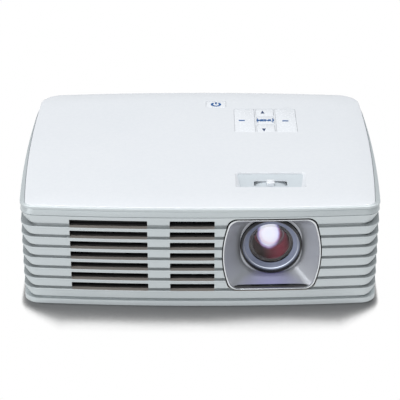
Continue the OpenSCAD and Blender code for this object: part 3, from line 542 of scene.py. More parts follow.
@dataclass(frozen=True)
class GlassFinish(Finish):
    """Coated optical glass with a thin film, and the bright oval where the beam leaves it.

    The oval reads the distance q from its spot, plus a little noise. Both faces of the glass glow, so the
    oval is twice as bright as one face.
    """

    film: float = 105.0
    spot: Pair = (41.2, 44.6)
    reach: Pair = (6.9, 9.8)
    power: float = 0.35

    def shader(self, nodes: Nodes) -> Node:
        """Shader with a faint cleaning haze in its roughness.

        Args:
            nodes: The material's nodes.

        Returns:
            A principled shader.
        """
        haze = nodes.noise(120.0, 4.0)
        tint = nodes.ramp(haze, [(0.3, self.second), (0.7, self.colour)])
        wobble = nodes.sum("MULTIPLY", nodes.noise(420.0, 3.0), 0.16)
        q = nodes.sum("ADD", nodes.oval(self.spot, self.reach), wobble)
        glow = nodes.ramp(q, [(0.0, (0.86, 0.92, 1.0)), (0.5, (0.95, 0.96, 1.0)),
                              (0.85, (0.80, 0.83, 1.0)), (0.95, (0.55, 0.5, 1.0))])
        return nodes.add("BsdfPrincipled", Base_Color=tint, Roughness=nodes.span(haze, *self.rough), IOR=1.5,
                         Transmission_Weight=1.0, Thin_Film_Thickness=self.film, Thin_Film_IOR=1.38,
                         Emission_Color=glow, Emission_Strength=nodes.span(q, self.power, 0.0, 0.86, 1.1))


@dataclass(frozen=True)
class BeamFinish(Finish):
    """Lit inner lens: a pale core with a dark red fringe and thin light rings round it."""

    centre: Pair = (0.0, 0.0)
    radii: Pair = (9.5, 9.5)

    def shader(self, nodes: Nodes) -> Node:
        """Shader whose glow reads the distance from the centre, with a small wobble.

        Args:
            nodes: The material's nodes.

        Returns:
            A principled shader.
        """
        far = nodes.oval(self.centre, self.radii)
        wobble = nodes.sum("MULTIPLY", nodes.noise(350.0, 3.0), 0.12)
        reach = nodes.sum("ADD", far, wobble)
        glow = nodes.ramp(reach, [(0.0, (0.7, 0.75, 1.0)), (0.5, (0.55, 0.5, 0.7)), (0.62, (0.42, 0.05, 0.10)),
                                  (0.74, (0.12, 0.01, 0.02)), (0.80, (0.35, 0.38, 0.42)),
                                  (0.84, (0.10, 0.02, 0.03)), (0.93, (0.25, 0.02, 0.05)),
                                  (1.0, (0.05, 0.005, 0.01))])
        return nodes.add("BsdfPrincipled", Base_Color=(*self.colour, 1.0),
                         Roughness=nodes.span(wobble, *self.rough, 0.0, 0.12), Emission_Color=glow,
                         Emission_Strength=nodes.span(reach, 0.22, 0.4, 0.3, 0.9), Coat_Weight=self.coat)


@dataclass(frozen=True)
class SpotFinish(Finish):
    """A finish with a painted glow: a soft spot of light from the lit lens, falling off as 1 - q from its
    centre.
    """

    spot: Pair = (42.7, 15.0)
    reach: Pair = (22.0, 6.5)
    glow: Colour = (0.30, 0.26, 0.85)
    power: float = 0.3

    def shader(self, nodes: Nodes) -> Node:
        """Shader of the finish, with the spot as its emission.

        Args:
            nodes: The material's nodes.

        Returns:
            A principled shader.
        """
        shader = super().shader(nodes)
        shader.inputs["Emission Color"].default_value = (*self.glow, 1.0)
        light = nodes.span(nodes.oval(self.spot, self.reach), self.power, 0.0, 0.0, 1.0)
        nodes.tree.links.new(light, shader.inputs["Emission Strength"])
        return shader


def finishes() -> dict[str, bpy.types.Material]:
    """Every finish of the object by name.

    Returns:
        Materials by name.
    """
    c, flakes, lines = srgb, Grain.FLAKE, Grain.BRUSHED
    grains = (Grain.PEEL, flakes, lines, Grain.CAST)
    gloss, flake, brushed, cast = (partial(Finish, grain=grain) for grain in grains)
    made = [
        gloss("pearl_gloss", c(236, 239, 243), c(230, 234, 239), (0.16, 0.24), coat=0.85, coat_rough=0.03,
              scale=520, depth=0.00002),
        gloss("key_gloss", c(238, 241, 245), c(231, 235, 240), (0.2, 0.3), coat=0.5, coat_rough=0.06,
              scale=700),
        flake("silver_paint", c(206, 213, 215), c(192, 200, 203), (0.34, 0.5), metallic=0.35, coat=0.15,
              coat_rough=0.2, scale=3600),
        flake("drive_silver", c(204, 211, 213), c(190, 198, 201), (0.36, 0.5), metallic=0.35, coat=0.12,
              coat_rough=0.2, scale=3200),
        brushed("bright_rim", c(228, 231, 234), c(205, 209, 213), (0.14, 0.24), metallic=0.9, scale=1500),
        # Funnel grey with a painted violet glow from the lens on its lower wall.
        SpotFinish("grey_satin_painted_glow", c(192, 195, 201), c(172, 175, 182), (0.32, 0.46), metallic=0.55, coat=0.1,
                   coat_rough=0.2, grain=flakes, scale=2800),
        # Satin ring on the lens with a painted bluish glow.
        SpotFinish("ring_satin_painted_glow", c(124, 130, 150), c(96, 102, 124), (0.26, 0.38), metallic=0.3, grain=lines,
                   scale=2200, spot=(52.0, 40.0), reach=(46.0, 60.0), glow=(0.40, 0.46, 0.62), power=0.14),
        # Thin ring on the lens: a painted highlight that glows.
        SpotFinish("lip_painted_highlight", c(225, 230, 240), c(214, 220, 232), (0.12, 0.2), metallic=0.4, coat=0.3,
                   grain=lines, scale=2200, depth=0.000005, spot=(47.0, 25.0), reach=(19.0, 19.0),
                   glow=(0.8, 0.88, 1.0), power=0.9),
        # Black cone with a painted dark red glow.
        SpotFinish("cone_red_painted_glow", c(14, 12, 13), c(9, 8, 9), (0.4, 0.6), scale=1600, depth=0.00003,
                   spot=(47.5, 31.5), reach=(9.0, 10.0), glow=(0.30, 0.015, 0.05), power=0.5),
        # Darker silver of the louvre grooves: painted shade.
        flake("silver_painted_shade", c(170, 176, 178), c(158, 164, 166), (0.45, 0.6), metallic=0.2, scale=3400),
        # Cut faces of the vent slots and of the lens window: painted shade.
        Finish("vent_painted_shade", c(178, 172, 166), c(168, 163, 158), (0.45, 0.6), scale=1700),
        # Satin recess floor, greyer than the cover: satin finish with painted shade.
        Finish("recess_satin_painted_shade", c(200, 208, 213), c(193, 201, 207), (0.4, 0.5), coat=0.1, coat_rough=0.3,
               scale=1500),
        gloss("black_gloss", c(16, 16, 18), c(9, 9, 11), (0.14, 0.24), coat=0.4),
        Finish("black_matt", c(26, 26, 28), c(16, 16, 18), (0.5, 0.7), scale=1600, depth=0.00003),
        Finish("grille_plastic", c(58, 59, 61), c(42, 43, 45), (0.5, 0.66), scale=1500, depth=0.00003),
        Finish("drive_black", c(38, 38, 41), c(25, 25, 28), (0.42, 0.6), scale=1300, depth=0.00004),
        cast("cast_alloy", c(168, 170, 174), c(136, 138, 143), (0.45, 0.65), metallic=0.85, scale=700,
             depth=0.00008),
        brushed("rolled_steel", c(186, 188, 192), c(160, 163, 168), (0.28, 0.46), metallic=0.95, scale=1800,
                depth=0.00002),
        brushed("fin_alloy", c(46, 47, 50), c(36, 37, 40), (0.36, 0.52), metallic=0.4, scale=1400,
                depth=0.00002),
        brushed("copper", c(214, 140, 98), c(176, 102, 66), (0.25, 0.45), metallic=0.95, scale=1500,
                depth=0.00002),
        brushed("brass", c(212, 182, 112), c(180, 148, 82), (0.22, 0.4), metallic=0.95, scale=1600),
        cast("rubber", c(44, 44, 46), c(30, 30, 32), (0.7, 0.9), scale=1100, depth=0.00006, specular=0.3),
        Finish("socket_blue", c(44, 74, 158), c(30, 54, 128), (0.35, 0.5), scale=1500, depth=0.00002),
        *(gloss(name, c(*first), c(*second), (0.4, 0.5), coat=0.2, coat_rough=0.2, scale=1200, depth=0.000003)
          for name, first, second in (("print_blue", (14, 92, 156), (10, 80, 142)),
                                      ("print_navy", (40, 66, 110), (32, 54, 94)))),
        BoardFinish("circuit_green", c(16, 74, 40), c(52, 120, 66), (0.35, 0.5), coat=0.3, depth=0.00003),
        GlassFinish("coated_glass", (0.96, 0.97, 1.0), (0.92, 0.93, 1.0), (0.0, 0.02)),
        BeamFinish("lit_lens", (0.05, 0.05, 0.06), (0.0, 0.0, 0.0), (0.1, 0.2), coat=0.5,
                   centre=(LensGroup.axis_x, LensGroup.axis_z)),
    ]
    return {item.name: item.make() for item in made}


# Making pieces


def placed(name: str, data: bpy.types.ID) -> Thing:
    """A new object of some data, linked to the scene.

    Args:
        name: Name of the object.
        data: What it shows.

    Returns:
        The object.
    """
    item = bpy.data.objects.new(name, data)
    bpy.context.scene.collection.objects.link(item)
    return item


def baked(item: Thing) -> bpy.types.Mesh:
    """Mesh of an object with its modifiers or its text worked in."""
    bpy.context.view_layer.update()
    return bpy.data.meshes.new_from_object(item.evaluated_get(bpy.context.evaluated_depsgraph_get()))


def mesh_of(surface: Surface, name: str) -> Thing:
    """Object with a surface as its mesh, in metres, with doubles merged and its faces outwards.

    Args:
        surface: The surface, in millimetres.
        name: Name of the object.

    Returns:
        The object, linked to the scene, at the origin.
    """
    mesh = bpy.data.meshes.new(name)
    mesh.from_pydata((surface.points * MM).tolist(), [], surface.faces)
    for _ in range(FINISH_SLOTS):
        mesh.materials.append(None)
    mesh.polygons.foreach_set("material_index", surface.tags)
    edit = bmesh.new()
    edit.from_mesh(mesh)
    bmesh.ops.remove_doubles(edit, verts=edit.verts, dist=MERGE)
    bmesh.ops.recalc_face_normals(edit, faces=edit.faces)
    edit.to_mesh(mesh)
    edit.free()
    return placed(name, mesh)


def carve(piece: Thing, tool: Surface) -> None:
    """Cuts a surface out of a piece, and keeps the result as the piece's mesh.

    Args:
        piece: Object to change.
        tool: The surface that cuts.
    """
    knife = mesh_of(tool, "knife")
    cut = piece.modifiers.new("carve", "BOOLEAN")
    cut.object, cut.operation, cut.solver = knife, "DIFFERENCE", "EXACT"
    cut.material_mode = "INDEX"
    result = baked(piece)
    piece.modifiers.clear()
    old, piece.data = piece.data, result
    bpy.data.meshes.remove(old)
    bpy.data.objects.remove(knife)


@dataclass
class Workshop:
    """Turns surfaces into finished pieces that ride on the CAD bodies."""

    materials: dict[str, bpy.types.Material]
    nodes: dict[str, Thing]

    def finish(self, piece: Thing, names: Sequence[str], body: str, slot: str,
               replaced: Sequence[str] = (), sharp: float = 32.0) -> Thing:
        """Gives a piece its finishes, smooth shading, body and the nodes it stands for.

        Args:
            piece: The object.
            names: Finishes in the order of the finish numbers.
            body: CAD body that it rides on.
            slot: The record's material slot; not used.
            replaced: CAD nodes that it stands for.
            sharp: Angle in degrees above which an edge stays sharp.

        Returns:
            The piece.
        """
        mesh = piece.data
        tags = np.zeros(len(mesh.polygons), np.int32)
        mesh.polygons.foreach_get("material_index", tags)
        mesh.materials.clear()
        for name in names:
            mesh.materials.append(self.materials[name])
        mesh.polygons.foreach_set("material_index", np.minimum(tags, len(names) - 1))
        mesh.shade_smooth()
        mesh.set_sharp_from_angle(angle=math.radians(sharp))
        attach(piece, body)
        if replaced:
            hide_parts(*replaced)
        log.info("%s: %d faces on %s", piece.name, len(mesh.polygons), body)
        return piece

    def make(self, name: str, surface: Surface, names: Sequence[str], body: str, slot: str,
             replaced: Sequence[str] = (), sharp: float = 32.0) -> Thing:
        """Makes and finishes a piece in one step, with the arguments of finish."""
        return self.finish(mesh_of(surface, name), names, body, slot, replaced, sharp)

    def dress(self, finish: str, *names: str) -> None:
        """Puts a finish on CAD nodes.

        Args:
            finish: Name of the finish.
            *names: CAD nodes that get it.
        """
        for name in names:
            node = self.nodes[name]
            if not node.material_slots:
                node.data.materials.append(None)
            for held in node.material_slots:
                held.material = self.materials[finish]
            log.info("%s: %s", name, finish)


# The case


@dataclass(frozen=True)
class CasePlan:
    """Plan of the case: a rounded rectangle whose four sides bow outwards."""

    half: float = 106.0
    front: float = -80.5
    rear: float = 80.0
    side_bow: float = 2.96
    front_bow: float = 4.44
    rear_bow: float = 4.93
    front_radius: float = 8.0
    rear_radius: float = 12.0
    rim: float = 3.0
    rim_front: float = 1.0
    rim_end: float = 72.0

    def outline(self, inset: float = 0.0, side: float = 0.0, front_radius: float | None = None,
                rear_radius: float | None = None) -> Array:
        """Plan of the case at one level.

        The rounded rectangle (x, y) becomes x (1 + s / h (1 - (y / e)^2)), y + b y / e (1 - (x / h)^2),
        with side bow s, half width h, and the end e and its bow b of the half that y lies in.

        Args:
            inset: How far it is set in all round.
            side: How much more it is set in at the two sides.
            front_radius: Radius of the front corners.
            rear_radius: Radius of the rear corners.

        Returns:
            Rows of X and Y.
        """
        flat = rounded(self.half - inset - side, self.front + inset, self.rear - inset,
                       self.front_radius if front_radius is None else front_radius,
                       self.rear_radius if rear_radius is None else rear_radius)
        x, y = flat.T
        end = np.where(y < 0, self.front, self.rear)
        bow = np.where(y < 0, -self.front_bow, self.rear_bow)
        return np.stack([x * (1 + self.side_bow / self.half * (1 - (y / end) ** 2)),
                         y + bow * y / end * (1 - (x / self.half) ** 2)], 1)

    def cover(self, inset: float = 0.0) -> Array:
        """Plan of the cover: the case's plan less a rim that runs out towards the rear.

        x is scaled by 1 - r (m - y) / (m - f) / h in front of the rim's end m, and the front half moves in
        by the front rim times y / f, where f is the front.

        Args:
            inset: How far it is set in all round.

        Returns:
            Rows of X and Y.
        """
        x, y = self.outline(inset, 0.0, self.front_radius - self.rim).T
        narrow = np.maximum(0.0, self.rim * (self.rim_end - y) / (self.rim_end - self.front)) / self.half
        return np.stack([x * (1 - narrow), y + np.where(y < 0, self.rim_front * y / self.front, 0.0)], 1)

    def front_at(self, x: Array | float) -> Array | float:
        """Y of the front at x: the front less the bow times 1 - (x / h)^2."""
        return self.front - self.front_bow * (1 - (np.asarray(x) / self.half) ** 2)


@dataclass
class Housing:
    """Silver case: a flat base, eight slanted louvres with a lip on each, and the band under the cover."""

    plan: CasePlan = field(default_factory=CasePlan)
    under: float = 3.0
    floor: float = 5.0
    base: float = 6.5
    pitch: float = 7.04
    grooves: int = 8
    band: float = 63.15
    split: float = 67.2
    lip: float = 1.3
    groove: float = 1.5
    groove_depth: float = 2.0
    curve: float = 1.5
    foot_round: Pair = (0.35, 0.08)
    top_lean: float = 0.8
    side_depth: float = 5.0
    slope: float = 3.2
    face_inset: float = 0.35
    foot_radius: float = 5.0
    rear_radius: float = 12.0
    wall: float = 3.4
    inner_corner: float = 13.0
    slot_low: float = -0.1
    slot_height: float = 4.75
    columns: tuple[Pair, ...] = ((-77.05, -31.03), (-17.83, 8.65))
    tray_mouth: Box = (-58.6, 68.6, 5.6, 18.2)
    side_cut: Pair = (85, 112)
    rear_opening: Box = (-78, 78, 19.8, 41.8)
    rear_cut: Pair = (70, 95)
    screws: tuple[Pair, ...] = ((-92, -68), (92, -68), (-86, 73.6), (86, 73.6))
    screw_radii: Pair = (3.2, 1.7)
    bores: tuple[tuple[Pair, float], ...] = (((0, -67), 4.05), ((-41, 5), 5.1))

    def groove_z(self, k: int) -> float:
        """Height of the lower edge of groove k, counted from the top."""
        return self.base + self.pitch * (self.grooves - k)

    def inner(self) -> Array:
        """Plan of the inside of the walls."""
        return self.plan.outline(self.wall, self.side_depth, self.inner_corner, self.inner_corner)

    def louvre_rows(self, foot: float, head: float, lean: float) -> list[Array]:
        """Rows of one louvre face: P(t) = s foot line + (1 - s) head line, with s = (1 - t)^curve.

        Its inset is the face's, plus the lean times 1 - t, plus a small round at the very foot.

        Args:
            foot: Height of its lower edge.
            head: Height of its upper edge.
            lean: How far the foot is set in at the front.

        Returns:
            Rows from the foot to the head.
        """
        rows = []
        size, end = self.foot_round
        for t in (0.0, 0.03, 0.09, 0.18, 0.3, 0.45, 0.65, 0.85, 1.0):
            inset = self.face_inset + lean * (1 - t) + size * max(0.0, 1 - t / end) ** 2
            low = self.plan.outline(inset, self.slope, self.foot_radius, self.rear_radius)
            share = (1 - t) ** self.curve
            rows.append(stand(low * share + self.plan.outline(inset) * (1 - share), foot + (head - foot) * t))
        return rows

    def lip_rows(self, low: float, high: float) -> list[Array]:
        """Rows of a thin lip with its two edges rounded.

        Args:
            low: Height of its lower face.
            high: Height of its upper face.

        Returns:
            Rows from the lower to the upper face.
        """
        edge = [(self.face_inset, 0.0), (0.12, 0.05), (0.02, 0.18), (0.0, 0.35)]
        under = [(inset, low + rise) for inset, rise in edge]
        over = [(inset, high - rise) for inset, rise in edge[::-1]]
        return levelled(self.plan.outline, under + over)

    def shell(self) -> Surface:
        """The whole louvred wall as one ring of rows: up the outside and down the inside.

        The faces of the grooves, from each lip's edge over the floor to the next face, have finish 1: a darker
        silver that is painted shade.

        Returns:
            The closed surface.
        """
        floor = self.plan.outline(self.groove_depth, self.side_depth, self.foot_radius - 1,
                                  self.rear_radius - 1)
        rows, shaded = [stand(floor, self.base)], [0]
        for k in range(self.grooves, 0, -1):
            foot = self.groove_z(k) + self.groove
            head = self.band - 0.25 if k == 1 else self.groove_z(k - 1) - self.lip
            shaded.append(len(rows))
            rows += [stand(floor, foot - 0.05)] + self.louvre_rows(foot, head, self.top_lean if k == 1 else 0.0)
            if k > 1:
                rows += self.lip_rows(head, self.groove_z(k - 1))
                shaded.append(len(rows) - 1)
                rows.append(stand(floor, self.groove_z(k - 1) + 0.02))
        top = self.split - 0.5
        band = [(1.1, self.band - 0.23), (1.1, self.band + 0.12), (0.2, self.band + 0.14),
                (0.05, self.band + 0.3), (0.9, top - 0.3), (1.0, top - 0.1), (1.15, top), (1.5, top + 0.02),
                (1.5, self.split)]
        rows += levelled(self.plan.outline, band)
        rows += [stand(self.inner(), self.split), stand(self.inner(), self.base)]
        skin = loft(np.array(rows), ring=True)
        bands = np.zeros((len(rows), len(floor)), int)
        bands[[*shaded, *(row - 1 for row in shaded[1:])]] = 1
        return Surface(skin.points, skin.faces, bands.ravel().tolist())

    def vents(self) -> Surface:
        """All the vent slots as cutting blocks.

        Returns:
            The blocks, with finish 2, which paints shade on the slots' cut faces.
        """
        feet = [self.groove_z(k) for k in range(1, self.grooves)]
        return together([soft_slab(rectangle(x0, x1, z + self.slot_low, z + self.slot_height, 0.4), *FRONT_CUT,
                                   way=Way.Y, tag=2) for z in feet for x0, x1 in self.columns])

    def base_shell(self) -> Surface:
        """Base tub: out and up from the resting face, then down the inside to the floor.

        Returns:
            The closed surface.
        """
        low, high = self.under, self.base
        outside = [(0.6, low), (0.25, low + 0.05), (0.06, low + 0.2), (0.0, low + 0.45), (0.0, high - 0.25),
                   (0.08, high - 0.06), (0.3, high)]
        rows = levelled(self.plan.outline, outside)
        return loft(np.array(rows + [stand(self.inner(), self.base), stand(self.inner(), self.floor)]))

    def build(self, shop: Workshop, window: Surface) -> None:
        """Makes the base and the louvred housing.

        Args:
            shop: The workshop.
            window: Cutting block of the lens window.
        """
        mouth = soft_slab(rectangle(*self.tray_mouth, 0.4), *self.side_cut, way=Way.X)
        base = mesh_of(self.base_shell(), "base_shell")
        head, shank = self.screw_radii
        holes = [lathe([(0, 1), (head, 1), (head, 9), (shank, 9), (shank, 12), (0, 12)], at, around=40)
                 for at in self.screws]
        holes += [lathe([(0, 1), (r, 1), (r, 12), (0, 12)], at, around=48) for at, r in self.bores]
        carve(base, together([mouth, *holes]))
        shop.finish(base, ["silver_paint"], "case", "silver_case", ["base_case"])
        wall = mesh_of(self.shell(), "louvre_wall")
        rear = soft_slab(rectangle(*self.rear_opening, 0.5), *self.rear_cut, way=Way.Y)
        carve(wall, self.vents() + rear + mouth + window)
        # Finish 1 paints shade in the grooves, and finish 2 on the cut faces of the slots and the window.
        shop.finish(wall, ["silver_paint", "silver_painted_shade", "vent_painted_shade"], "case", "silver_case",
                    ["front_louvres", "side_louvres", "rear_louvres"], sharp=24.0)
        shop.dress("silver_paint", "base_standoffs")


def together(surfaces: Sequence[Surface]) -> Surface:
    """Several surfaces as one.

    Args:
        surfaces: Surfaces to join.

    Returns:
        The joint surface.
    """
    total = surfaces[0]
    for more in surfaces[1:]:
        total = total + more
    return total


def join_meshes(piece: Thing, extra: Thing) -> None:
    """Adds the mesh of one object to another and removes the first.

    Args:
        piece: Object that grows.
        extra: Object whose mesh goes into it.
    """
    edit = bmesh.new()
    edit.from_mesh(piece.data)
    edit.from_mesh(extra.data)
    edit.to_mesh(piece.data)
    edit.free()
    bpy.data.objects.remove(extra)


@dataclass
class Cover:
    """White cover with the focus recess and the key holes, and the silver trim round its foot."""

    plan: CasePlan = field(default_factory=CasePlan)
    split: float = 67.2
    seam: float = 0.5
    top: float = 70.0
    inside: float = 67.58
    thickness: float = 2.2
    crown_inset: float = 17.0
    crown: float = 0.7
    edge: float = 0.8
    edge_rise: float = 0.85
    edge_turn: float = 82.0
    crown_power: float = 2.4
    trim_low: float = 0.5
    trim_wall: float = 0.8
    trim_rise: float = 1.4
    trim_fade: float = 0.4
    recess_floor: float = 66.0
    recess_skin: float = 0.5
    recess_lip: float = 1.0
    recess_side: float = 4.0
    recess_corner: float = 1.6
    recess_rim: float = -0.45
    recess: Box = (21.4, 64.0, -57.8, -39.2)
    slot: Box = (32.68, 52.72, -51.35, -45.75)
    slot_cut: Pair = (58, 75)

    def recess_row(self, inset: float, share: float, drop: float = 0.0) -> Array:
        """One line round the focus recess, from its floor (share 0) to its rim (share 1).

        The floor rises from the front to the rear, f(y) = floor + (top - lip - floor) (y - y0) / (y1 - y0),
        and z = f + share (top - f). The two sides lean in by side (1 - share) (top - f) / (top - floor).

        Args:
            inset: How far the line is set in from the rim's outline.
            share: Height between the floor and the rim.
            drop: How far the line lies below that.

        Returns:
            Rows of X, Y and Z.
        """
        x0, x1, y0, y1 = self.recess
        x, y = rectangle(x0, x1, y0, y1, self.recess_corner)(inset).T
        middle = (x0 + x1) / 2
        floor = self.recess_floor + (self.top - self.recess_lip - self.recess_floor) * (y - y0) / (y1 - y0)
        deep = (self.top - floor) / (self.top - self.recess_floor)
        lean = self.recess_side * (1 - share) * deep / ((x1 - x0) / 2)
        return np.stack([middle + (x - middle) * (1 - lean), y, floor + share * (self.top - floor) - drop], 1)

    def shell(self) -> Surface:
        """Cover as one closed skin: inside, wall, rounded edge and crown.

        The edge is nearly a quarter of an ellipse, and the crown rises by 1 - (1 - t)^power over the crown
        inset.

        Returns:
            The closed surface.
        """
        foot, shoulder = self.split + self.seam, self.top - self.crown
        levels = [(self.thickness, self.inside), (self.thickness, foot), (0.12, foot), (0.0, foot + 0.15)]
        levels += [(self.edge * (1 - math.cos(a)), shoulder - self.edge * self.edge_rise * (1 - math.sin(a)))
                   for a in np.radians(np.linspace(0, self.edge_turn, 9))]
        levels += [(self.edge + (self.crown_inset - self.edge) * t,
                    shoulder + (self.top - shoulder) * (1 - (1 - t) ** self.crown_power))
                   for t in (0.04, 0.1, 0.2, 0.35, 0.5, 0.7, 0.85, 1.0)]
        return loft(np.array(levelled(self.plan.cover, levels)))

    def basin(self) -> Surface:
        """Focus recess: a rounded rim, leaning walls, and a sloping satin floor, with a skin under them; the
        floor's greyer colour is painted shade.

        Returns:
            The closed surface.
        """
        rim, skin = self.recess_rim, self.recess_skin
        under = ((0.9, 0.0, skin), (-0.9, 0.0, skin), (-1.2, 1.0, 0.8), (rim, 1.0, 0.7))
        levels = ((rim, 1.0), (-0.2, 0.99), (-0.05, 0.95), (0.0, 0.88), (0.12, 0.16), (0.25, 0.06),
                  (0.5, 0.015), (0.9, 0.0))
        rows = [self.recess_row(*place) for place in under + levels]
        basin = loft(np.array(rows))
        # The floor's faces take finish 1, whose greyer colour is painted shade.
        satin = 3 * len(rows[0])
        quads = len(basin.faces) - 2
        tags = [0] * (quads - satin) + [1] * satin + [0, 1]
        return Surface(basin.points, basin.faces, tags)

    def trim(self) -> Surface:
        """Silver trim: a low wall, a slope up to the cover and a ledge below it.

        The rim is as wide as the gap w between the case's and the cover's plans. Where w is nothing, wall and
        top are as high as the low size, and over the width of the fade they gain the wall's and the rise's.

        Returns:
            The closed surface.
        """
        plan = self.plan
        outer, inner = plan.outline(), plan.cover(-0.12)
        out = np.hypot(*(outer - inner).T) * np.sign(np.hypot(*outer.T) - np.hypot(*inner.T))
        share = np.clip(out / self.trim_fade, 0.0, 1.0)
        line = np.where(out[:, None] > 0, inner, outer)
        wall = self.trim_low + self.trim_wall * share
        rise = self.trim_low + self.trim_rise * share
        ledge = plan.outline(6.0, 2.0)
        z = self.split
        rows = [stand(ledge, z), stand(plan.outline(0.15), z), stand(outer, z + 0.12)]
        rows.append(stand(outer, z + wall - 0.12 * share))
        for t in (0.04, 0.12, 0.35, 0.65, 0.9, 1.0):
            rows.append(stand(outer + (line - outer) * t, z + wall + (rise - wall) * t))
        rows += [stand(line, z + self.trim_low), stand(ledge, z + self.trim_low)]
        return loft(np.array(rows), ring=True)

    def build(self, shop: Workshop, key_holes: Surface) -> None:
        """Makes the trim and the cover.

        Args:
            shop: The workshop.
            key_holes: Cutting blocks of the key holes.
        """
        shop.make("trim", self.trim(), ["silver_paint"], "case", "silver_case", ["cover_trim"], sharp=24.0)
        cover = mesh_of(self.shell(), "cover_shell")
        mouth = loft(np.array([self.recess_row(self.recess_rim, 1.0, drop) for drop in (6.0, -3.0)]))
        carve(cover, key_holes + mouth)
        basin = mesh_of(self.basin(), "basin")
        carve(basin, soft_slab(rectangle(*self.slot, 1.2), *self.slot_cut))
        join_meshes(cover, basin)
        # Finish 1 of the cover is the recess floor's satin with painted shade.
        shop.finish(cover, ["pearl_gloss", "recess_satin_painted_shade"], "case", "white_gloss", ["top_cover"], sharp=28.0)
        shop.dress("pearl_gloss", "cover_standoffs")


@dataclass
class Keys:
    """Power button and five-key panel, with blue marks.

    Power is a centre, a width and a length. The flange is how much wider it is, its lower and its upper face.
    An arrow is its width and its reach down and up, and the stroke its half width, start and end.
    """

    top: float = 69.9
    under: float = 66.98
    foot: float = 64.3
    gap: float = 0.13
    rounding: float = 0.16
    overlap: float = 0.3
    flange: Place = (0.2, -0.1, 0.5)
    stem_radius: float = 2
    hole_cut: Pair = (64, 75)
    radius: float = 1.2
    centre: Pair = (42.7, 37.8)
    size: Pair = (40.6, 36.5)
    middle: float = 11.8
    rib: float = 0.9
    power: Box = (10.7, 63.5, 13.4, 10.0)
    ink: Pair = (-0.01, 0.03)
    dash: Pair = (2.0, 0.85)
    arrow: Place = (2.7, 2.1, 2.6)
    bar: Pair = (0.25, 3.6)
    sign_radii: Pair = (3.5, 1.9)
    sign_turn: Pair = (125, 415)
    stroke: Place = (0.6, 0.2, 3.6)
    word_height: float = 2.9

    def boxes(self) -> dict[str, Box]:
        """Centre, width and length of each key by its CAD node.

        Returns:
            Boxes by CAD node.
        """
        x, y = self.centre
        w, l = self.size
        length = (l - 2 * self.rib) / 3
        side = (w - self.middle) / 2 - self.rib
        step, shift = length + self.rib, (self.middle + side) / 2 + self.rib
        return {"key_up": (x, y + step, self.middle, length), "key_down": (x, y - step, self.middle, length),
                "key_menu": (x, y, self.middle, length), "key_left": (x - shift, y, side, l),
                "key_right": (x + shift, y, side, l), "power_button": self.power}

    def outline(self, name: str, grow: float) -> Outline:
        """Outline of a key grown by a distance."""
        x, y, w, l = self.boxes()[name]
        return centred(x, y, w / 2 + grow, l / 2 + grow, self.radius)

    def holes(self) -> Surface:
        """Cutting blocks of all the key holes."""
        return together([soft_slab(self.outline(name, 0.0), *self.hole_cut) for name in self.boxes()])

    def marks(self) -> dict[str, list[Surface]]:
        """Blue marks of each key as thin plates: dashes, arrows, and the power sign's ring and stroke.

        Returns:
            Plates by the CAD node of their key.
        """
        x, y = self.centre
        z0, z1 = self.top + self.ink[0], self.top + self.ink[1]
        width, low, high = self.arrow

        def dash(at_x: float, at_y: float) -> Surface:
            """A short bar round a centre."""
            return soft_slab(centred(at_x, at_y, *self.dash, 0.3), z0, z1)

        def arrow(at_y: float, sense: float) -> Surface:
            """A triangle that points up for sense 1 and down for -1.

            Args:
                at_y: Y of its middle.
                sense: 1 for up and -1 for down.

            Returns:
                The plate.
            """
            foot = at_y - low * sense
            tip = np.array([[x - width, foot], [x, foot], [x - width / 2, at_y + high * sense]])
            return prism(tip if sense > 0 else tip[::-1], z0, z1, tag=1)

        px, py = self.power[:2]
        angle = np.radians(np.linspace(*self.sign_turn, 60))
        arcs = [np.stack([px + r * np.cos(a), py + r * np.sin(a)], 1)
                for r, a in zip(self.sign_radii, (angle, angle[::-1]))]
        half, start, end = self.stroke
        stroke = soft_slab(rectangle(px - half, px + half, py + start, py + end, 0.3), z0, z1)
        aside = self.middle / 2 - 1.0
        bars = [soft_slab(centred(x + side * aside, y, *self.bar, 0.2), z0, z1) for side in (-1, 1)]
        return {"key_left": [dash(x - 15.4, y)], "key_right": [dash(x + 13.1, y - 0.7)], "key_menu": bars,
                "key_up": [arrow(y + 13.0, 1.0)], "key_down": [arrow(y - 14.6, -1.0)],
                "power_button": [prism(np.vstack(arcs), z0, z1), stroke]}

    def word(self, text: str, body: str, shop: Workshop) -> None:
        """Generic word printed on the middle key.

        Args:
            text: The word.
            body: CAD body of the key.
            shop: The workshop.
        """
        curve = bpy.data.curves.new("word", "FONT")
        curve.body, curve.size, curve.extrude = text, self.word_height * 1.4 * MM, 0.00001
        curve.offset = 0.0003
        curve.align_x, curve.align_y = "CENTER", "CENTER"
        letters = placed("word", curve)
        mesh = baked(letters)
        bpy.data.objects.remove(letters)
        mesh.transform(Matrix.Translation(Vector((*self.centre, self.top + 0.01)) * MM))
        shop.finish(placed("menu_word", mesh), ["print_blue"], body, "white_keys")

    def build(self, shop: Workshop) -> None:
        """Makes the caps and their marks.

        Args:
            shop: The workshop.
        """
        bodies = {"key_up": "up", "key_down": "down", "key_menu": "menu", "key_left": "left",
                  "key_right": "right", "power_button": "power"}
        marks = self.marks()
        low, foot, r = self.under, self.foot, self.stem_radius
        wider, under, over = self.flange
        for name, body in bodies.items():
            x, y = self.boxes()[name][:2]
            cap = soft_slab(self.outline(name, -self.gap), low + self.overlap, self.top, 0.0, self.rounding)
            flange = soft_slab(self.outline(name, wider), low + under, low + over)
            stem = lathe([(0, foot), (r, foot), (r, low), (0, low)], (x, y), around=32)
            shop.make(name + "_cap", cap + flange + stem, ["key_gloss"], body, "white_keys", [name])
            shop.make(name + "_mark", together(marks[name]), ["print_blue", "print_navy"], body, "white_keys")
        self.word("MENU", "menu", shop)


# The lens


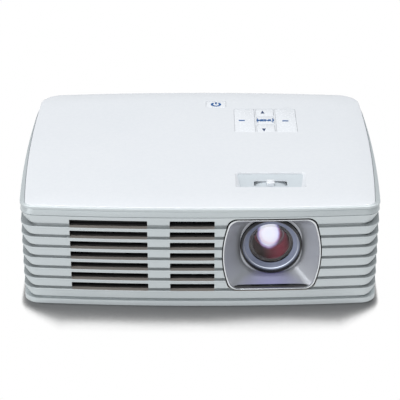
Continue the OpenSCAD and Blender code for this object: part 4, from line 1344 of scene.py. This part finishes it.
@dataclass
class LensGroup:
    """Lens window, funnel, barrel, glass and focus lever.

    The stem is outer radius, inner radius, start behind the cup and end. A step of the cone is first radius,
    how much narrower the next one is, pitch and tread.
    """

    axis_x: float = 42.7
    axis_z: float = 37.7
    plan: CasePlan = field(default_factory=CasePlan)
    width: float = 59.5
    height: float = 48.6
    bulge: float = 4.6
    corner: float = 4.0
    funnel_back: float = -71.5
    cup: float = -72.5
    lip: float = 1.8
    ring_radius: float = 18.2
    lens_radius: float = 16.4
    dome: float = 38.0
    foot_half: float = 18.7
    knob: Box = (42.7, -48.55, 67.2, 69.6)
    shield: Place = (27.9, 28.6, 38.0)
    bore: float = 17.15
    stem: Box = (13, 11, 6.5, -35)
    seat: float = 5.02
    cone_edge: float = 10.9
    cone_depth: float = 8
    steps: int = 9
    step: Box = (10.4, 0.2, 0.95, 0.75)
    beam_radius: float = 8.3
    beam_bulge: float = 1.6
    beam_at: float = 14.6

    def turned(self, profile: Sequence[Pair], around: int = 128, ring: bool = False, tag: int = 0) -> Surface:
        """Surface turned round the lens axis, with the arguments of lathe."""
        return lathe(profile, (self.axis_x, self.axis_z), Way.Y, around, ring, tag)

    def window(self, inset: float) -> Array:
        """Outline of the window in X and Z: its sides bulge by 1 - (z / h)^2.

        Args:
            inset: How far it is set in.

        Returns:
            Rows of X and Z.
        """
        half, rise = self.width / 2 - self.bulge - inset, self.height / 2 - inset
        line = rounded(half, -rise, rise, self.corner, self.corner, 10, 26, 24)
        x = line[:, 0] * (1 + self.bulge / half * (1 - (line[:, 1] / rise) ** 2))
        return np.stack([self.axis_x + x, self.axis_z + line[:, 1]], 1)

    def foot(self, half: float, power: float = 2.6) -> Array:
        """Outline round the axis with |x|^p + |z|^p = half^p and the window's point count.

        Args:
            half: Half of its width.
            power: The power p, which is 2 for a circle.

        Returns:
            Rows of X and Z.
        """
        away = rounded(half, -half, half, half * 0.1, half * 0.1, 10, 26, 24)
        away = away / np.hypot(*away.T)[:, None]
        reach = half / (np.abs(away) ** power).sum(1)[:, None] ** (1 / power)
        return np.array([self.axis_x, self.axis_z]) + away * reach

    def cutter(self) -> Surface:
        """Cutting block of the lens window; its cut faces get finish 2, painted shade."""
        return prism(self.window(0.0), *FRONT_CUT, Way.Y, tag=2)

    def rim(self) -> Surface:
        """Bright rim inside the window behind a dark gap, with a round front edge; the gap's dark is painted
        shade, a black band of finish 1.

        Returns:
            The closed surface.
        """
        def row(inset: float, deep: float) -> Array:
            """The window's line set in, and set back from the front by a depth."""
            line = self.window(inset)
            return stand(line, self.plan.front_at(line[:, 0]) + deep, Way.Y)

        painted_gap_shadow = ((0.02, 2.2), (0.52, 2.2), (0.58, 0.5), (0.75, 0.6), (0.75, 3.4), (0.02, 3.4))
        rim = ((0.7, 0.7), (0.64, 0.42), (0.7, 0.26), (0.84, 0.18), (1.2, 0.18), (1.38, 0.3), (1.5, 0.6),
               (1.5, 2.6), (0.8, 2.6))
        return together([loft(np.array([row(*place) for place in line]), ring=True, tag=tag)
                         for tag, line in enumerate((rim, painted_gap_shadow))])

    def funnel(self) -> Surface:
        """Funnel W (1 - s) + Q s from the window's line to a soft square foot, its round hole and a skin.

        Returns:
            The closed surface.
        """
        front, back = self.window(1.55), self.foot(self.foot_half)
        mouth = self.plan.front_at(front[:, 0]) + 0.8
        rows = [stand(front, mouth, Way.Y)]
        for s in np.linspace(0.08, 1.0, 10):
            rows.append(stand(front * (1 - s) + back * s, mouth * (1 - s) + self.funnel_back * s, Way.Y))
        hole = self.foot(self.foot_half - 0.08, 2.0)
        rows += [stand(hole, self.funnel_back + deep, Way.Y) for deep in (0.05, 1.5)]
        rows.append(stand(self.foot(22.5, 12.0), self.funnel_back + 1.5, Way.Y))
        outer = self.window(0.15)
        rows.append(stand(outer, self.plan.front_at(outer[:, 0]) + 3.4, Way.Y))
        rows.append(stand(self.window(1.0), self.plan.front_at(front[:, 0]) + 2.3, Way.Y))
        return loft(np.array(rows), ring=True)

    def sill(self) -> Surface:
        """Black strip along the foot of the window, between the rim and the funnel.

        Returns:
            The closed surface.
        """
        line = rounded(23.0, -0.6, 0.6, 0.3, 0.3, 4, 24, 2)
        x, z = self.axis_x + line[:, 0], self.axis_z - self.height / 2 + 2.2 + line[:, 1]
        flat = np.stack([x, z], 1)
        return loft(np.array([stand(flat, self.plan.front_at(x) + deep, Way.Y) for deep in (0.9, 3.0)]))

    def barrel(self) -> Surface:
        """Black barrel turned round the axis: a wide cup with a lip, a satin ring on the glass, and a stem.

        Returns:
            The closed surface.
        """
        r, c, bore = self.ring_radius, self.cup, self.bore
        lip = c - self.lip
        outside, inside, back, end = self.stem
        cup = [(r - 0.6, lip), (r - 0.25, lip + 0.12), (r - 0.05, lip + 0.4), (r, lip + 0.8), (r, c + back),
               (outside, c + back), (outside, end), (inside, end), (inside, c + self.seat),
               (bore, c + self.seat), (bore, lip + 0.5), (bore + 0.1, lip + 0.15), (bore + 0.25, lip)]
        # The satin ring's bluish glow is painted light from the beam.
        ring = [(bore, c + 1.0), (16.5, c + 1.35), (16.1, c + 1.6), (13.4, c + 2.75), (13.3, c + 2.95),
                (13.5, c + 3.1), (bore, c + 4.3)]
        # Thin ring of finish 2, whose glow is a painted highlight.
        shine = [(16.55, c + 1.33), (16.3, c + 1.22), (16.05, c + 1.55), (16.3, c + 1.8)]
        return together([self.turned(line, 160, True, tag) for tag, line in enumerate((cup, ring, shine))])

    def glass(self) -> Surface:
        """Front lens: y = d - sqrt(d^2 - r^2) in front and a shallow hollow behind.

        Returns:
            The closed surface.
        """
        r = np.linspace(0, self.lens_radius, 22)
        front = np.stack([r, self.cup + 0.6 + self.dome - np.sqrt(self.dome**2 - r**2)], 1)
        rear = np.stack([r[::-1], self.cup + 4.9 - 1.2 * (1 - (r[::-1] / self.lens_radius) ** 2)], 1)
        return self.turned(np.vstack([front, rear]))

    def cone(self) -> Surface:
        """Black cone behind the front lens, with fine turned steps against stray light.

        Returns:
            The closed surface.
        """
        first, narrower, pitch, tread = self.step
        front = self.cup + self.stem[2] - 1.5
        back = self.cup + self.stem[2] + self.cone_depth
        line = [(self.cone_edge, back), (self.cone_edge, front)]
        for k in range(self.steps):
            r, y = first - narrower * k, front + pitch * k
            line += [(r, y), (r - 0.02, y + tread)]
        return self.turned([*line, (8.5, back)], ring=True)

    def inner(self) -> Surface:
        """Lit inner lens: a low dome that stands b (1 - (r / e)^2) in front of a flat rim.

        Returns:
            The closed surface.
        """
        rim, edge = self.cup + self.beam_at, self.beam_radius
        dome = [(r, rim - self.beam_bulge * (1 - (r / edge) ** 2)) for r in np.linspace(0, edge, 12)]
        back = rim + 3.9
        return self.turned(dome + [(self.cone_edge, rim), (self.cone_edge, back), (0, back)], 96)

    def lever(self) -> Surface:
        """White focus lever: a ridged pad, its foot, and the curved shield that keeps the slot shut.

        Returns:
            The closed surface.
        """
        x, y, z0, z1 = self.knob
        inside, outside, reach = self.shield
        angle = np.radians(np.linspace(-reach, reach, 41))
        arc = np.stack([np.sin(angle), np.cos(angle)], 1)
        rows = []
        for at, more in ((y - 3.5, 0.0), (y + 3.3, 0.95), (y + 6.3, 1.35)):
            line = np.vstack([arc * (outside + more), arc[::-1] * (inside + more)])
            rows.append(stand(line + np.array([self.axis_x, self.axis_z]), at, Way.Y))
        # The shield takes finish 1, the recess floor's satin with painted shade.
        shield = loft(np.array(rows), tag=1)
        foot = soft_slab(centred(x, y, 1.9, 2.3, 0.6), self.axis_z + outside - 0.4, z0 + 0.1)
        pad = soft_slab(centred(x, y, 2.5, 2.7, 0.9), z0 - 0.7, z1 - 0.5, 0.2, 0.45)
        ridge = soft_slab(centred(x, y, 2.1, 1.2, 0.8), z1 - 1.0, z1, 0.0, 0.5)
        return pad + ridge + foot + shield

    def build(self, shop: Workshop) -> None:
        """Makes the pieces of the group.

        Args:
            shop: The workshop.
        """
        shop.make("window_rim", self.rim(), ["bright_rim", "black_matt"], "case", "chrome_rim", ["lens_rim"])
        # The funnel's grey carries a painted violet glow from the lens on its lower wall.
        shop.make("funnel", self.funnel(), ["grey_satin_painted_glow"], "case", "grey_funnel", ["lens_funnel"], sharp=20.0)
        shop.make("window_sill", self.sill(), ["black_gloss"], "case", "black_plastic")
        shop.make("barrel", self.barrel(), ["black_gloss", "ring_satin_painted_glow", "lip_painted_highlight"], "lens", "black_plastic",
                  ["lens_barrel"])
        shop.make("glass", self.glass(), ["coated_glass"], "lens", "lens_glass", ["front_lens"])
        # The cone's red is a painted glow from the beam.
        shop.make("cone", self.cone(), ["cone_red_painted_glow"], "lens", "black_plastic", ["baffle_cone"])
        shop.make("beam_lens", self.inner(), ["lit_lens"], "lens", "lit_glass", ["inner_lens"])
        shop.make("focus_lever", self.lever(), ["key_gloss", "recess_satin_painted_shade"], "focus", "white_keys",
                  ["focus_knob"])
        shop.dress("black_matt", "focus_ring", "lens_tube")


# Disc drive, feet and inner parts


@dataclass
class DiscDrive:
    """Slim disc drive in the right side: front plate, eject button and the CAD mechanism."""

    fascia: tuple[float, float, float, float, float, float] = (99.0, 103.0, -58.2, 68.2, 6.1, 17.7)
    eject: Place = (43.0, 12.0, 3.6)
    line: float = 13.54
    line_width: float = 1.5
    pin_hole: Pair = (14, 0.7)
    button_gap: Pair = (0.1, 0.15)

    def build(self, shop: Workshop) -> None:
        """Makes the front plate and the button, and dresses the mechanism.

        Args:
            shop: The workshop.
        """
        x0, x1, y0, y1, z0, z1 = self.fascia
        plate = mesh_of(soft_slab(rectangle(y0, y1, z0, z1, 0.8), x0, x1, 0.0, 0.4, Way.X), "tray_front")
        at, length, high = self.eject
        mid = (z0 + z1) / 2
        line = rectangle(y0 - 3, y1 + 3, self.line, self.line + self.line_width, 0.1)
        groove = soft_slab(line, x1 - 0.8, x1 + 3, way=Way.X)
        hole, fit = self.button_gap
        button = soft_slab(centred(at, mid, length / 2 + hole, high / 2 + hole, 0.6), x0 - 1, x1 + 1, way=Way.X)
        aside, r = self.pin_hole
        pin = lathe([(0, x0 - 1), (r, x0 - 1), (r, x1 + 1), (0, x1 + 1)], (at - aside, mid), Way.X, 24)
        carve(plate, groove)
        carve(plate, button + pin)
        shop.finish(plate, ["drive_silver"], "tray", "silver_case", ["tray_fascia"])
        cap = soft_slab(centred(at, mid, length / 2 - fit, high / 2 - fit, 0.5), x0 + 1.2, x1 + 0.5, 0.0, 0.35,
                        Way.X)
        shop.make("eject_cap", cap, ["key_gloss"], "eject", "white_keys", ["eject_button"])
        shop.dress("drive_black", "disc_tray", "tray_surround", "spindle_hub")
        shop.dress("rolled_steel", "drive_chassis", "drive_lid", "tray_rails", "spindle_motor", "sled_rods",
                   "lead_screw", "drive_shelf")
        shop.dress("cast_alloy", "laser_sled")


@dataclass
class Feet:
    """Adjustable front foot with a ribbed edge, and the two rear pads."""

    front: Pair = (0.0, -67.0)
    ribs: int = 36
    ribbed_from: float = 6.5
    rib_depth: float = 0.02
    profile: tuple[Pair, ...] = ((6.2, 0.0), (6.7, 0.15), (7.0, 0.5), (7.0, 2.3), (6.8, 2.6), (6.3, 2.9),
                                 (4.0, 2.9), (4.0, 12.5), (3.6, 12.9))

    def build(self, shop: Workshop) -> None:
        """Makes the front foot: its edge is r (1 - depth (1 + cos n a)), with n ribs round it.

        Args:
            shop: The workshop.
        """
        angle = np.linspace(0, 2 * np.pi, 8 * self.ribs, endpoint=False)
        wave = 1 - self.rib_depth * (1 + np.cos(self.ribs * angle))
        rows = []
        for radius, height in self.profile:
            edge = radius * (wave if radius > self.ribbed_from else np.ones_like(angle))
            line = np.stack([self.front[0] + edge * np.cos(angle), self.front[1] + edge * np.sin(angle)], 1)
            rows.append(stand(line, height))
        shop.make("foot_wheel", loft(np.array(rows)), ["rubber"], "foot", "foot_rubber", ["front_foot"])
        shop.dress("rubber", "rear_feet")
        shop.dress("brass", "tripod_nut")
        shop.dress("rolled_steel", "case_screws")


@dataclass
class InnerParts:
    """CAD nodes inside the case and at its rear, each with its own finish."""

    def build(self, shop: Workshop) -> None:
        """Dresses the nodes.

        Args:
            shop: The workshop.
        """
        shop.dress("grille_plastic", "rear_panel")
        shop.dress("cast_alloy", "engine_base", "engine_lid")
        shop.dress("fin_alloy", "main_heatsink", "small_heatsinks")
        shop.dress("copper", "led_blue", "led_modules", "heat_pipes")
        shop.dress("circuit_green", "dmd_board", "main_board", "keypad_board", "driver_board")
        shop.dress("black_matt", "intake_grille", "fan_frame", "fan_rotor", "speaker", "av_jacks", "dc_inlet")
        shop.dress("rolled_steel", "data_sockets")
        shop.dress("socket_blue", "vga_socket")


# Stage


@dataclass
class Studio:
    """Pale floor, soft lamps and the camera at the photograph's angle."""

    aim: Place = (0.0, -0.085, 0.0672)
    middle: Place = (0.0, 0.0, 0.04)
    elevation: float = 28.0
    distance: float = 0.886
    focal: float = 136.6
    shift: float = 0.0305
    shade: float = 0.0275
    floor_half: float = 6.0
    horizon: Pair = (0.28, 0.75)
    beside: Pair = (0.084, 0.110)
    sky: Pair = (0.68, 0.94)
    sky_power: float = 1.8
    spread: float = 0.72
    room_light: float = 0.36
    lamps: tuple[tuple[str, Place, Pair, float], ...] = (
        ("overhead", (0.0, 0.3, 1.3), (1.8, 0.8), 13.2),
        ("front_fill", (-0.35, -1.2, 0.95), (1.0, 0.6), 7.6),
        ("left_fill", (-1.0, -0.7, 0.5), (0.5, 0.5), 2.4))

    def floor(self) -> None:
        """Pale floor: plain white for the camera under open sky, and beside the object a dark diffuse, a
        painted contact shadow.
        """
        half = self.floor_half
        mesh = bpy.data.meshes.new("floor")
        corner_points = [(-half, -half, 0), (half, -half, 0), (half, half, 0), (-half, half, 0)]
        mesh.from_pydata(corner_points, [], [(0, 1, 2, 3)])
        floor = placed("floor", mesh)
        material = bpy.data.materials.new("pale_floor_painted_shadow")
        nodes = Nodes(material)
        flat = nodes.add("VectorMath", operation="LENGTH", i0=nodes.place()).outputs["Value"]
        far = nodes.span(flat, 0.0, 1.0, *self.horizon)
        aside = nodes.sum("ABSOLUTE", nodes.add("SeparateXYZ", Vector=nodes.place()).outputs["X"])
        reach = nodes.span(aside, self.shade, 0.004, *self.beside)
        # Ambient occlusion, narrowed by position at the sides, sets where the painted contact shadow shows.
        open_sky = nodes.add("AmbientOcclusion", samples=12, Distance=reach).outputs["AO"]
        clear = nodes.sum("POWER", nodes.span(open_sky, 0.0, 1.0, *self.sky), self.sky_power)
        path = nodes.add("LightPath")
        seen = path.outputs["Is Camera Ray"]
        for kind in ("Is Glossy Ray", "Is Transmission Ray"):
            seen = nodes.sum("MAXIMUM", seen, path.outputs[kind])
        # Dark diffuse tone of the painted contact shadow.
        painted_shadow_tone = nodes.ramp(nodes.noise(9.0, 2.0), [(0.3, (0.26, 0.26, 0.262)), (0.7, (0.275, 0.275, 0.277))])
        pale = nodes.add("BsdfDiffuse", Color=painted_shadow_tone)
        white = nodes.add("Emission", Color=WHITE, Strength=1.0)
        spread = nodes.sum("MULTIPLY", nodes.sum("SUBTRACT", 1.0, seen), self.spread)
        share = nodes.sum("ADD", nodes.sum("MULTIPLY", nodes.sum("MAXIMUM", far, clear), seen), spread)
        nodes.output(nodes.add("MixShader", i0=share, i1=pale.outputs[0], i2=white.outputs[0]))
        mesh.materials.append(material)

    def world(self) -> None:
        """Soft white surroundings: plain white to the camera, dimmer as light."""
        world = bpy.data.worlds.new("soft_room")
        nodes = Nodes(world)
        seen = nodes.add("LightPath").outputs["Is Camera Ray"]
        dim = nodes.add("Background", Color=(0.96, 0.98, 1.0, 1.0), Strength=self.room_light)
        white = nodes.add("Background", Color=WHITE)
        nodes.output(nodes.add("MixShader", i0=seen, i1=dim.outputs[0], i2=white.outputs[0]))
        bpy.context.scene.world = world

    def lamp(self, name: str, place: Place, size: Pair, power: float) -> None:
        """Adds a soft area lamp that faces the middle of the object.

        Args:
            name: Name of the lamp.
            place: Where it hangs, in metres.
            size: Its two sides.
            power: Its power.
        """
        data = bpy.data.lights.new(name, "AREA")
        data.shape, data.size, data.size_y, data.energy = "RECTANGLE", size[0], size[1], power
        lamp = placed(name, data)
        lamp.location = place
        lamp.rotation_euler = (Vector(self.middle) - Vector(place)).to_track_quat("-Z", "Y").to_euler()

    def camera(self) -> None:
        """Camera at azimuth 0, looking down by the elevation at a point above the front edge."""
        angle = math.radians(self.elevation)
        data = bpy.data.cameras.new("camera")
        data.lens, data.sensor_width, data.shift_y = self.focal, 36.0, self.shift
        data.clip_start, data.clip_end = 0.05, 20.0
        camera = placed("camera", data)
        x, y, z = self.aim
        camera.location = (x, y - self.distance * math.cos(angle), z + self.distance * math.sin(angle))
        camera.rotation_euler = (math.pi / 2 - angle, 0.0, 0.0)
        bpy.context.scene.camera = camera

    def build(self) -> None:
        """Sets up floor, world, lamps, camera and the view transform."""
        self.floor()
        self.world()
        for lamp in self.lamps:
            self.lamp(*lamp)
        self.camera()
        bpy.context.scene.view_settings.view_transform = "Standard"
        log.info("studio: floor, world, lamps and camera")


def main() -> None:
    """Builds the scene, piece by piece, round the CAD frame."""
    logging.basicConfig(level=logging.INFO, format="%(name)s: %(message)s")
    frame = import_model()
    shop = Workshop(finishes(), frame["nodes"])
    lens, keys = LensGroup(), Keys()
    Housing().build(shop, lens.cutter())
    Cover().build(shop, keys.holes())
    keys.build(shop)
    lens.build(shop)
    DiscDrive().build(shop)
    Feet().build(shop)
    InnerParts().build(shop)
    Studio().build()


if __name__ == "__main__":
    main()
